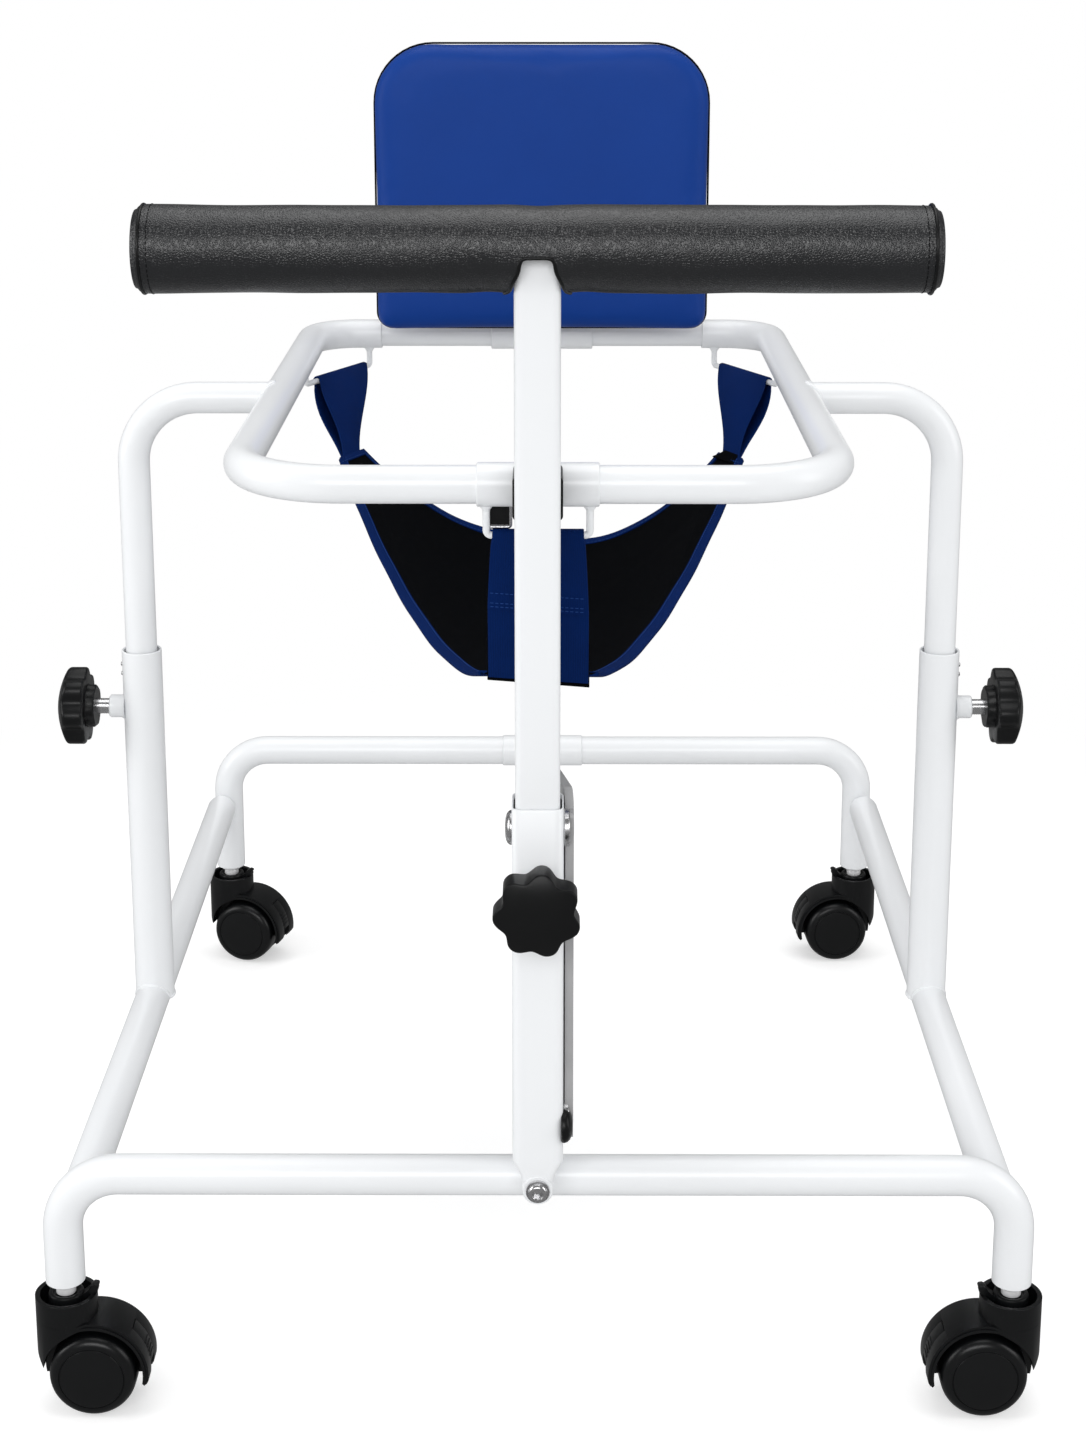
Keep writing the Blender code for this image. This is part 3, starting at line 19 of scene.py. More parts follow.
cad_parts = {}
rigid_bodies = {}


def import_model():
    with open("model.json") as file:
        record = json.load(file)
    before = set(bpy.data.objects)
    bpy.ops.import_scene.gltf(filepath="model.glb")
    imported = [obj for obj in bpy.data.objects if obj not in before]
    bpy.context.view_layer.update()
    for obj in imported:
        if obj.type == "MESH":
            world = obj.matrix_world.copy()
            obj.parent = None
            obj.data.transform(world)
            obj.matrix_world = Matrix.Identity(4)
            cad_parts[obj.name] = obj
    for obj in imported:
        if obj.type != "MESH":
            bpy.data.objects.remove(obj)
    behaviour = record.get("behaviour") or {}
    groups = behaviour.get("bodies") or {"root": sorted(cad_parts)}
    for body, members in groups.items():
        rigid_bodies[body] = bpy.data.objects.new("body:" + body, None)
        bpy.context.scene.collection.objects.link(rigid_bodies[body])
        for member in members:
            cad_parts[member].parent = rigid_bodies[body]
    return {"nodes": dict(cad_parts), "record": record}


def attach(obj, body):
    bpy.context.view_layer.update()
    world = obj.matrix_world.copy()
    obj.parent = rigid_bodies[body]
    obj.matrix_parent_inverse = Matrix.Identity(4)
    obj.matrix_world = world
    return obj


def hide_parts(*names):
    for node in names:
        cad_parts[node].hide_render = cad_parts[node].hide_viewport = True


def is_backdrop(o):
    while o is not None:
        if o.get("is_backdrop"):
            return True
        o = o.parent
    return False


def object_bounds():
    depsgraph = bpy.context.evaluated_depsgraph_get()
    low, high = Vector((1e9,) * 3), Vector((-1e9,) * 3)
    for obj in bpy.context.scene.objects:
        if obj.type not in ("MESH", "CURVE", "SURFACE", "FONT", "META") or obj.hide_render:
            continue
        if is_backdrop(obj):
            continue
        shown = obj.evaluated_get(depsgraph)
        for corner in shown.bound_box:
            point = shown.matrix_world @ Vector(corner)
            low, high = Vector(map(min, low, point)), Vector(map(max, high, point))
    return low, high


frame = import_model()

LOG = logging.getLogger("walker")
Point = tuple[float, float]
Place = Sequence[float]
Ring = list[Vector]
WHITE = (1.0, 1.0, 1.0, 1.0)


class Side(Enum):
    """The two sides of the walker, as seen from the post."""

    LEFT = -1
    RIGHT = 1

    @property
    def word(self) -> str:
        """The side's name as it stands in node names."""
        return self.name.lower()


class Body(StrEnum):
    """The rigid bodies that more than one class builds on."""

    BASE = "base"
    UPPER = "upper_frame"
    T_BAR = "t_bar"


# Shader maths


class Value:
    """A number in a shader, with arithmetic that adds Math nodes."""

    def __init__(self, shader: "Shader", socket: bpy.types.NodeSocket) -> None:
        """Wraps an output socket of the shader's tree."""
        self.shader = shader
        self.socket = socket

    def _math(self, operation: str, first: object, second: object = 0.0) -> "Value":
        """Adds one Math node, whose inputs are Values or numbers."""
        node = self.shader.node("ShaderNodeMath", {"operation": operation}, {0: first, 1: second})
        return Value(self.shader, node.outputs[0])

    def __add__(self, other: object) -> "Value":
        """self + other."""
        return self._math("ADD", self, other)

    def __radd__(self, other: object) -> "Value":
        """other + self."""
        return self._math("ADD", other, self)

    def __sub__(self, other: object) -> "Value":
        """self - other."""
        return self._math("SUBTRACT", self, other)

    def __rsub__(self, other: object) -> "Value":
        """other - self."""
        return self._math("SUBTRACT", other, self)

    def __mul__(self, other: object) -> "Value":
        """self * other."""
        return self._math("MULTIPLY", self, other)

    def __rmul__(self, other: object) -> "Value":
        """other * self."""
        return self._math("MULTIPLY", other, self)

    def sine(self) -> "Value":
        """The sine of the value, in radians."""
        return self._math("SINE", self)

    def absolute(self) -> "Value":
        """The value without its sign."""
        return self._math("ABSOLUTE", self)

    def step(self, low: float, high: float) -> "Value":
        """A smooth step from 0 at low to 1 at high."""
        node = self.shader.node("ShaderNodeMapRange", {"interpolation_type": "SMOOTHSTEP"},
                                {"Value": self, "From Min": low, "From Max": high})
        return Value(self.shader, node.outputs["Result"])


class Shader:
    """A material with one Principled surface and a method that adds any other node."""

    def __init__(self, name: str) -> None:
        """Makes the material and finds its surface node.

        Args:
            name: The material's name.
        """
        self.material = bpy.data.materials.new(name)
        self.material.use_nodes = True
        self.tree = self.material.node_tree
        self.surface = self.tree.nodes["Principled BSDF"]

    def node(self, kind: str, settings: dict[str, object] | None = None,
             values: dict[object, object] | None = None) -> bpy.types.Node:
        """Adds a node.

        Args:
            kind: The node's type name.
            settings: Its properties.
            values: Its inputs by name or number, each a Value, a socket or a constant.

        Returns:
            The new node.
        """
        node = self.tree.nodes.new(kind)
        for name, setting in (settings or {}).items():
            setattr(node, name, setting)
        for key, value in (values or {}).items():
            self.put(node.inputs[key], value)
        return node

    def put(self, target: bpy.types.NodeSocket, value: object) -> None:
        """Links or sets one input socket.

        Args:
            target: The input socket.
            value: A Value, an output socket or a constant.
        """
        if isinstance(value, Value):
            self.tree.links.new(value.socket, target)
        elif isinstance(value, bpy.types.NodeSocket):
            self.tree.links.new(value, target)
        else:
            target.default_value = value

    def set(self, **values: object) -> None:
        """Sets or links inputs of the surface, with underscores for the spaces in their names."""
        for name, value in values.items():
            self.put(self.surface.inputs[name.replace("_", " ")], value)

    def coordinates(self, kind: str = "Object") -> bpy.types.NodeSocket:
        """One output of the Texture Coordinate node."""
        return self.node("ShaderNodeTexCoord").outputs[kind]

    def noise(self, scale: float, detail: float = 3.0, where: bpy.types.NodeSocket | None = None) -> Value:
        """Smooth noise from 0 to 1, with scale features a metre, on the object's coordinates unless told."""
        node = self.node("ShaderNodeTexNoise", None, {"Vector": where or self.coordinates(), "Scale": scale,
                                                      "Detail": detail, "Roughness": 0.55})
        return Value(self, node.outputs[0])

    def cell_edges(self, scale: float) -> Value:
        """The distance to the nearest edge in a pattern of cells, scale cells a metre."""
        node = self.node("ShaderNodeTexVoronoi", {"feature": "DISTANCE_TO_EDGE"},
                         {"Vector": self.coordinates(), "Scale": scale})
        return Value(self, node.outputs["Distance"])

    def across_and_along(self) -> tuple[Value, Value]:
        """The two surface coordinates of a strip, in metres."""
        node = self.node("ShaderNodeSeparateXYZ", None, {0: self.coordinates("UV")})
        return Value(self, node.outputs[0]), Value(self, node.outputs[1])

    def blend(self, factor: object, first: object, second: object) -> bpy.types.NodeSocket:
        """A colour between the first at factor 0 and the second at factor 1."""
        node = self.node("ShaderNodeMix", {"data_type": "RGBA"}, {0: factor, 6: first, 7: second})
        return node.outputs[2]

    def bump(self, height: Value, depth: float, strength: float = 1.0) -> None:
        """Gives the surface a relief, depth metres deep where its height is 1."""
        node = self.node("ShaderNodeBump", None, {"Height": height, "Distance": depth, "Strength": strength})
        self.set(Normal=node.outputs[0])


def shaded(color: Sequence[float], share: float = 1.0) -> tuple[float, float, float, float]:
    """The colour with a full alpha, darker or lighter by a share."""
    return (color[0] * share, color[1] * share, color[2] * share, 1.0)


# Finishes


@dataclass(frozen=True)
class PowderCoat:
    """Glossy white powder coat with a faint orange peel."""

    color: tuple[float, float, float] = (0.845, 0.860, 0.876)
    roughness: float = 0.30
    peel_per_m: float = 420.0
    peel_depth: float = 0.00005

    def make(self) -> bpy.types.Material:
        """Builds the material.

        Returns:
            The material.
        """
        shader = Shader("white_paint")
        mottling = shader.noise(9.0, 2.0)
        shader.set(Base_Color=shader.blend(mottling, shaded(self.color, 0.985), shaded(self.color)),
                   Roughness=mottling * 0.06 + (self.roughness - 0.03))
        shader.set(Coat_Weight=0.2, Coat_Roughness=0.14, Specular_IOR_Level=0.4)
        shader.bump(shader.noise(self.peel_per_m, 1.0), self.peel_depth, 0.5)
        return shader.material


@dataclass(frozen=True)
class BrightSteel:
    """Zinc or nickel plated steel."""

    name: str = "bright_steel"
    color: tuple[float, float, float] = (0.66, 0.66, 0.67)
    roughness: float = 0.24
    metallic: float = 1.0

    def make(self) -> bpy.types.Material:
        """Builds the material.

        Returns:
            The material.
        """
        shader = Shader(self.name)
        scuffs = shader.noise(260.0, 4.0)
        shader.set(Base_Color=shaded(self.color), Metallic=self.metallic,
                   Roughness=scuffs * 0.22 + (self.roughness - 0.08))
        shader.bump(shader.noise(900.0, 2.0), 0.00002, 0.3)
        return shader.material


@dataclass(frozen=True)
class MouldedPlastic:
    """Moulded plastic with a fine grain."""

    name: str
    color: tuple[float, float, float]
    roughness: float = 0.42
    grain_per_m: float = 2600.0
    grain_depth: float = 0.00005
    gloss: float = 0.35

    def make(self) -> bpy.types.Material:
        """Builds the material.

        Returns:
            The material.
        """
        shader = Shader(self.name)
        wear = shader.noise(38.0, 4.0)
        shader.set(Base_Color=shader.blend(wear, shaded(self.color, 0.85), shaded(self.color, 1.2)),
                   Roughness=wear * 0.16 + (self.roughness - 0.08))
        shader.set(Specular_IOR_Level=self.gloss)
        shader.bump(shader.noise(self.grain_per_m, 2.0), self.grain_depth, 0.6)
        return shader.material


@dataclass(frozen=True)
class Vinyl:
    """Upholstery vinyl with pressed grain and a soft shine."""

    name: str
    color: tuple[float, float, float]
    roughness: float
    grain_per_m: float
    grain_depth: float
    gloss: float = 0.3

    def make(self) -> bpy.types.Material:
        """Builds the material.

        Returns:
            The material.
        """
        shader = Shader(self.name)
        clouds = shader.noise(14.0, 3.0)
        cells = shader.cell_edges(self.grain_per_m).step(0.02, 0.35)
        fine = shader.noise(self.grain_per_m * 2.4, 2.0)
        shader.set(Base_Color=shader.blend(clouds, shaded(self.color, 0.93), shaded(self.color, 1.07)),
                   Roughness=fine * 0.10 + clouds * 0.08 + (self.roughness - 0.09))
        shader.set(Specular_IOR_Level=self.gloss)
        shader.bump(cells * 0.65 + fine * 0.35, self.grain_depth, 0.8)
        return shader.material


@dataclass(frozen=True)
class Webbing:
    """Woven polyester tape, ribbed across and twilled along."""

    name: str
    color: tuple[float, float, float]
    ribs_per_m: float = 620.0
    depth: float = 0.00022
    roughness: float = 0.72

    def make(self) -> bpy.types.Material:
        """Builds the material.

        Returns:
            The material.
        """
        shader = Shader(self.name)
        across, along = shader.across_and_along()
        wobble = shader.noise(60.0, 2.0) * 0.0006
        warp = ((across + wobble) * (self.ribs_per_m * math.pi)).sine().absolute()
        weft = ((along + wobble) * (self.ribs_per_m * 1.3 * math.pi) + across * 1900.0).sine().absolute()
        weave = warp * 0.55 + weft * 0.45
        patches = shader.noise(22.0, 4.0)
        dark = shader.blend(weave, shaded(self.color, 0.62), shaded(self.color, 1.25))
        shader.set(Base_Color=shader.blend(patches.step(0.35, 0.75), dark, shaded(self.color, 1.15)),
                   Roughness=patches * 0.12 + (self.roughness - 0.06))
        shader.set(Specular_IOR_Level=0.05)
        shader.bump(weave, self.depth, 0.7)
        return shader.material


@dataclass(frozen=True)
class KnittedMesh:
    """Fine black spacer mesh."""

    name: str = "black_mesh"
    color: tuple[float, float, float] = (0.0021, 0.0024, 0.0031)
    holes_per_m: float = 900.0
    depth: float = 0.00035

    def make(self) -> bpy.types.Material:
        """Builds the material.

        Returns:
            The material.
        """
        shader = Shader(self.name)
        across, along = shader.across_and_along()
        rows = (across * (self.holes_per_m * math.pi)).sine()
        columns = (along * (self.holes_per_m * math.pi)).sine()
        holes = (rows * columns).absolute()
        patches = shader.noise(18.0, 3.0)
        shader.set(Base_Color=shader.blend(holes, shaded(self.color, 0.6), shaded(self.color, 1.5)),
                   Roughness=patches * 0.1 + 0.78)
        shader.set(Specular_IOR_Level=0.03)
        shader.bump(holes, self.depth, 0.6)
        return shader.material


@dataclass(frozen=True)
class Plywood:
    """Thin plywood seen at the back of the pad."""

    color: tuple[float, float, float] = (0.42, 0.30, 0.18)

    def make(self) -> bpy.types.Material:
        """Builds the material.

        Returns:
            The material.
        """
        shader = Shader("backing_board")
        grain = shader.node("ShaderNodeMapping", None, {0: shader.coordinates(), 3: (6.0, 6.0, 90.0)})
        bands = shader.noise(3.0, 5.0, grain.outputs[0])
        shader.set(Base_Color=shader.blend(bands, shaded(self.color, 0.7), shaded(self.color, 1.2)),
                   Roughness=bands * 0.2 + 0.55)
        return shader.material


@dataclass(frozen=True)
class Finish:
    """A material with the name of a slot in the record."""

    material: bpy.types.Material
    slot: str


class Wardrobe:
    """Every finish of the walker, made once."""

    def __init__(self) -> None:
        """Makes the materials."""
        black = MouldedPlastic("black_plastic", (0.0040, 0.0043, 0.0047), 0.36, gloss=0.26).make()
        nylon = MouldedPlastic("black_nylon", (0.0036, 0.0040, 0.0045), 0.32, 3000.0, 0.00003, 0.34).make()
        grey = MouldedPlastic("grey_board", (0.350, 0.350, 0.354), 0.45, 700.0, 0.00004).make()
        thread = MouldedPlastic("navy_thread", (0.0100, 0.0450, 0.2000), 0.6, gloss=0.15).make()
        dark_thread = MouldedPlastic("black_thread", (0.0050, 0.0050, 0.0060), 0.6, gloss=0.1).make()
        zinc = BrightSteel("zinc_plate", (0.90, 0.90, 0.91), 0.30, 0.35).make()
        blue = Vinyl("blue_vinyl", (0.0044, 0.0410, 0.2450), 0.44, 1500.0, 0.00006, 0.13).make()
        charcoal = Vinyl("charcoal_vinyl", (0.0062, 0.0070, 0.0088), 0.33, 620.0, 0.00028, 0.70).make()
        self.white = Finish(PowderCoat().make(), "white_paint")
        self.steel = Finish(BrightSteel().make(), "bright_steel")
        self.black = Finish(black, "black_plastic")
        self.nylon = Finish(nylon, "black_nylon")
        self.grey = Finish(grey, "grey_board")
        self.board = Finish(Plywood().make(), "backing_board")
        self.blue = Finish(blue, "blue_vinyl")
        self.charcoal = Finish(charcoal, "charcoal_vinyl")
        self.navy = Finish(Webbing("navy_webbing", (0.0006, 0.0120, 0.0780)).make(), "navy_webbing")
        self.mesh = Finish(KnittedMesh().make(), "black_mesh")
        self.by_slot = {finish.slot: finish.material for finish in vars(self).values()}
        self.zinc = Finish(zinc, "bright_steel")
        self.thread = Finish(thread, "navy_webbing")
        self.pad_thread = Finish(dark_thread, "blue_vinyl")
        self.roll_thread = Finish(dark_thread, "charcoal_vinyl")
        self.roll_piping = Finish(black, "charcoal_vinyl")


# Shapes


class Plane(Enum):
    """The world axes of an outline's u, of its v and of its depth."""

    XY = (0, 1, 2)
    XZ = (0, 2, 1)
    YZ = (1, 2, 0)


def corner_arc(before: Vector, corner: Vector, after: Vector,
               radius: float) -> tuple[Vector, Vector, Vector]:
    """The arc that rounds a corner.

    Args:
        before: The point before the corner.
        corner: The corner.
        after: The point after it.
        radius: The arc's radius.

    Returns:
        The arc's centre, and its start and its end as seen from there.
    """
    inward, outward = (before - corner).normalized(), (after - corner).normalized()
    half = inward.angle(outward) / 2
    reach = radius / math.tan(half)
    centre = corner + (inward + outward).normalized() * (radius / math.sin(half))
    return centre, corner + inward * reach - centre, corner + outward * reach - centre


def along_bends(corners: Sequence[Place], radii: Sequence[float], steps: int = 14) -> Ring:
    """A centre line that turns each inner corner at its own radius.

    Args:
        corners: The line's ends and corners.
        radii: One radius for each inner corner.
        steps: Steps in a bend.

    Returns:
        The line's points.
    """
    points = [Vector(corners[0])]
    for before, corner, after, radius in zip(corners, corners[1:], corners[2:], radii):
        centre, start, end = corner_arc(Vector(before), Vector(corner), Vector(after), radius)
        turn, axis = start.angle(end), start.cross(end).normalized()
        points += [centre + Matrix.Rotation(turn * i / steps, 3, axis) @ start for i in range(steps + 1)]
    return points + [Vector(corners[-1])]


def smooth_line(points: Sequence[Place], steps: int) -> Ring:
    """A Catmull-Rom curve through the points.

    Args:
        points: What the curve passes through.
        steps: Steps between two points.

    Returns:
        The curve's points.
    """
    knots = [Vector(p) for p in points]
    last = len(knots) - 1
    line: Ring = []
    for i in range(last):
        a, b, c, d = (knots[min(max(i + k, 0), last)] for k in (-1, 0, 1, 2))
        for step in range(steps):
            t = step / steps
            line.append(0.5 * (2 * b + (c - a) * t + (2 * a - 5 * b + 4 * c - d) * t * t
                               + (3 * b - a - 3 * c + d) * t * t * t))
    return line + [knots[-1]]


def rounded_corners(outline: Sequence[Point], radii: Sequence[float], steps: int = 6) -> list[Point]:
    """A closed outline with rounded corners.

    Args:
        outline: The corners.
        radii: One radius for each corner.
        steps: Steps in a corner.

    Returns:
        The rounded outline.
    """
    points: list[Point] = []
    for i, radius in enumerate(radii):
        before, corner, after = (Vector(outline[(i + k) % len(outline)]) for k in (-1, 0, 1))
        if radius <= 0 or (before - corner).angle(after - corner) > 3.06:
            points.append(tuple(corner))
            continue
        centre, first, last = corner_arc(before, corner, after, radius)
        turn = first.angle_signed(last)
        points += [tuple(centre + Matrix.Rotation(-turn * step / steps, 2) @ first)
                   for step in range(steps + 1)]
    return points


def rounded_box(a: float, b: float, radius: float | Sequence[float], steps: int) -> list[Point]:
    """A rectangle from -a to a and -b to b, its corners given from the lower right one up and round."""
    radii = [radius] * 4 if isinstance(radius, float) else radius
    return rounded_corners([(a, -b), (a, b), (-a, b), (-a, -b)], radii, steps)


def circle(radius: float, sides: int, centre: Point = (0.0, 0.0)) -> list[Point]:
    """A round outline of a radius about a centre, with one point for each of its sides."""
    turns = [2 * math.pi * i / sides for i in range(sides)]
    return [(centre[0] + radius * math.cos(t), centre[1] + radius * math.sin(t)) for t in turns]


def line_length(line: Sequence[Vector]) -> float:
    """The length of a line of points."""
    return sum((b - a).length for a, b in zip(line, line[1:]))


def frames(line: Sequence[Place], closed: bool = False) -> list[tuple[Vector, Vector, Vector]]:
    """The point, side and up directions along a line, without twist.

    Args:
        line: The line's points.
        closed: Whether the line is a loop.

    Returns:
        One (point, side, up) for each point.
    """
    points = [Vector(p) for p in line]
    last = len(points) - 1
    side = None
    found = []
    for i, point in enumerate(points):
        ahead, behind = points[min(i + 1, last)], points[max(i - 1, 0)]
        if closed:
            ahead, behind = points[(i + 1) % len(points)], points[i - 1]
        tangent = (ahead - behind).normalized()
        side = tangent.orthogonal() if side is None else side - tangent * side.dot(tangent)
        side.normalize()
        found.append((point, side, side.cross(tangent).normalized()))
    return found


class Form:
    """A mesh while it is built from rings of points. Its UV map is in metres."""

    def __init__(self) -> None:
        """Starts an empty mesh."""
        self.bm = bmesh.new()
        self.uv = self.bm.loops.layers.uv.new("UVMap")

    def loft(self, rings: Sequence[Sequence[Vector]], caps: bool = True) -> "Form":
        """Joins rings of the same count.

        Args:
            rings: The rings, in order.
            caps: Whether the ends are filled. Without that, points that meet are joined.

        Returns:
            The form itself.
        """
        rows = [[self.bm.verts.new(p) for p in ring] for ring in rings]
        widest = list(max(rings, key=line_length))
        across = [0.0]
        for first, second in zip(widest, widest[1:] + widest[:1]):
            across.append(across[-1] + (second - first).length)
        along = 0.0
        for row, (low, high) in enumerate(zip(rows, rows[1:])):
            middle = len(low) // 2
            after = along + (rings[row + 1][middle] - rings[row][middle]).length
            for i in range(len(low)):
                j = (i + 1) % len(low)
                face = self.bm.faces.new((low[i], low[j], high[j], high[i]))
                near, far = across[i], across[i + 1]
                places = ((near, along), (far, along), (far, after), (near, after))
                for corner, place in zip(face.loops, places):
                    corner[self.uv].uv = place
            along = after
        if caps:
            self.bm.faces.new(rows[0])
            self.bm.faces.new(rows[-1])
        else:
            bmesh.ops.remove_doubles(self.bm, verts=self.bm.verts, dist=1e-6)
        return self

    def sweep(self, line: Sequence[Place], radius: float, sides: int, closed: bool = False) -> "Form":
        """Carries a circle along a line.

        Args:
            line: The centre line.
            radius: The circle's radius.
            sides: Points round it.
            closed: Whether the line is a loop.

        Returns:
            The form itself.
        """
        rings = [[point + side * u + over * v for u, v in circle(radius, sides)]
                 for point, side, over in frames(line, closed)]
        return self.loft(rings + [rings[0]], False) if closed else self.loft(rings)

    def pipe(self, line: Sequence[Place], outer: float, inner: float, sides: int = 40,
             lip: float = 0.0004) -> "Form":
        """A hollow tube with softened open ends.

        Args:
            line: The centre line.
            outer: The outer radius.
            inner: The bore's radius.
            sides: Points round the tube.
            lip: How much the ends' edges are rounded.

        Returns:
            The form itself.
        """
        places = frames(line)
        lead = (Vector(line[1]) - Vector(line[0])).normalized() * lip
        trail = (Vector(line[-1]) - Vector(line[-2])).normalized() * -lip
        none, inside = Vector((0, 0, 0)), range(1, len(places) - 1)
        steps = [(0, inner + lip, none), (0, outer - lip, none), (0, outer, lead)]
        steps += [(i, outer, none) for i in inside]
        steps += [(-1, outer, trail), (-1, outer - lip, none), (-1, inner + lip, none), (-1, inner, trail)]
        steps += [(i, inner, none) for i in reversed(inside)]
        steps += [(0, inner, lead), (0, inner + lip, none)]
        rings = []
        for i, radius, shift in steps:
            point, side, over = places[i]
            rings.append([point + shift + side * u + over * v for u, v in circle(radius, sides)])
        return self.loft(rings, False)

    def turn(self, profile: Sequence[Point], origin: Place, axis: Place, sides: int = 48) -> "Form":
        """A turned solid.

        Args:
            profile: Points of (radius, distance along the axis).
            origin: Where the axis starts.
            axis: The axis's direction.
            sides: Points round the axis.

        Returns:
            The form itself.
        """
        direction = Vector(axis).normalized()
        side = direction.orthogonal().normalized()
        over = direction.cross(side)
        rings = []
        for radius, reach in profile:
            centre = Vector(origin) + direction * reach
            rings.append([centre + side * u + over * v for u, v in circle(max(radius, 1e-5), sides)])
        return self.loft(rings)

    def stack(self, layers: Sequence[tuple[Sequence[Point], float]], plane: Plane = Plane.XY,
              centre: Place = (0.0, 0.0, 0.0)) -> "Form":
        """A solid through layers of outlines.

        Args:
            layers: Each an outline and its depth.
            plane: The plane that the outlines lie in.
            centre: The point that u, v and depth are measured from.

        Returns:
            The form itself.
        """
        rings = []
        for outline, depth in layers:
            ring = []
            for u, v in outline:
                point = Vector(centre)
                for axis, value in zip(plane.value, (u, v, depth)):
                    point[axis] = centre[axis] + value
                ring.append(point)
            rings.append(ring)
        return self.loft(rings)

    def prism(self, outline: Sequence[Point], low: float, high: float, plane: Plane = Plane.XY,
              centre: Place = (0.0, 0.0, 0.0)) -> "Form":
        """A solid of one outline from a low to a high depth."""
        return self.stack([(outline, low), (outline, high)], plane, centre)

    def done(self, name: str, finish: Finish, body: str = "", node: str = "",
             angle: float = 38.0) -> bpy.types.Object:
        """Makes the object.

        Args:
            name: The object's name.
            finish: Its finish.
            body: The body that it rides on, where it is fitted at once.
            node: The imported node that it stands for, if any.
            angle: Edges sharper than this many degrees stay sharp.

        Returns:
            The object.
        """
        bmesh.ops.recalc_face_normals(self.bm, faces=self.bm.faces)
        mesh = bpy.data.meshes.new(name)
        self.bm.to_mesh(mesh)
        self.bm.free()
        mesh.materials.append(finish.material)
        obj = smooth(new_object(name, mesh), angle)
        return fit(obj, finish, body, node) if body else obj


def new_object(name: str, data: bpy.types.ID) -> bpy.types.Object:
    """Puts a mesh, a light or a camera in the scene.

    Args:
        name: The object's name.
        data: What it shows.

    Returns:
        The object.
    """
    obj = bpy.data.objects.new(name, data)
    bpy.context.scene.collection.objects.link(obj)
    return obj


def fit(obj: bpy.types.Object, finish: Finish, body: str, node: str = "") -> bpy.types.Object:
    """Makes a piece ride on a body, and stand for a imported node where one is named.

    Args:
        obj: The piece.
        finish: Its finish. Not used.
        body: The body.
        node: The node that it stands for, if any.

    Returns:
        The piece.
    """
    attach(obj, str(body))
    if node:
        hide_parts(node)
    return obj


def smooth(obj: bpy.types.Object, angle: float) -> bpy.types.Object:
    """Shades an object smooth.

    Args:
        obj: The object.
        angle: Edges sharper than this many degrees stay sharp.

    Returns:
        The object.
    """
    obj.data.shade_smooth()
    obj.data.set_sharp_from_angle(angle=math.radians(angle))
    return obj


def freeze(obj: bpy.types.Object) -> None:
    """Makes the object's modifiers part of its mesh.

    Args:
        obj: The object.
    """
    depsgraph = bpy.context.evaluated_depsgraph_get()
    mesh = bpy.data.meshes.new_from_object(obj.evaluated_get(depsgraph))
    mesh.name = obj.name
    obj.modifiers.clear()
    obj.data = mesh


def soften(obj: bpy.types.Object, width: float, segments: int = 3, angle: float = 32.0,
           shade: float = 0.0) -> bpy.types.Object:
    """Rounds the object's sharp edges.

    Args:
        obj: The object.
        width: The rounding's width.
        segments: Its steps.
        angle: Edges sharper than this many degrees are rounded.
        shade: Where given, the rounding is frozen, and edges sharper than this stay sharp.

    Returns:
        The object.
    """
    mod = obj.modifiers.new("soft_edges", 'BEVEL')
    mod.width, mod.segments = width, segments
    mod.limit_method, mod.angle_limit = 'ANGLE', math.radians(angle)
    mod.harden_normals = False
    if shade:
        freeze(obj)
        smooth(obj, shade)
    return obj


def carve(obj: bpy.types.Object, tool: bpy.types.Object, operation: str = 'DIFFERENCE') -> None:
    """Cuts the tool from the object or joins it to the object, for good.

    Args:
        obj: The object.
        tool: The tool, which is removed.
        operation: The Boolean's operation.
    """
    mod = obj.modifiers.new("carve", 'BOOLEAN')
    mod.operation, mod.solver, mod.object = operation, 'EXACT', tool
    freeze(obj)
    bpy.data.objects.remove(tool, do_unlink=True)


def stitches(name: str, line: Sequence[Vector], finish: Finish, body: str, pitch: float,
             radius: float) -> bpy.types.Object:
    """A row of thread stitches along a line, each covering 62 percent of its pitch.

    Args:
        name: The object's name.
        line: The seam.
        finish: The thread's finish.
        body: The body that it rides on.
        pitch: From one stitch to the next.
        radius: The thread's radius.

    Returns:
        The stitches, as one object.
    """
    reach = [0.0]
    for first, second in zip(line, line[1:]):
        reach.append(reach[-1] + (second - first).length)
    count = max(int(reach[-1] / pitch), 1)
    ends = [(k + share) * pitch for k in range(count) for share in (0.0, 0.62)]
    columns = [np.interp(ends, reach, column) for column in np.array(line).T]
    points = [Vector(p) for p in zip(*columns)]
    form = Form()
    for start, end in zip(points[::2], points[1::2]):
        form.sweep([start, (start + end) / 2, end], radius, 6)
    return form.done(name, finish, body)


# The walker's plan


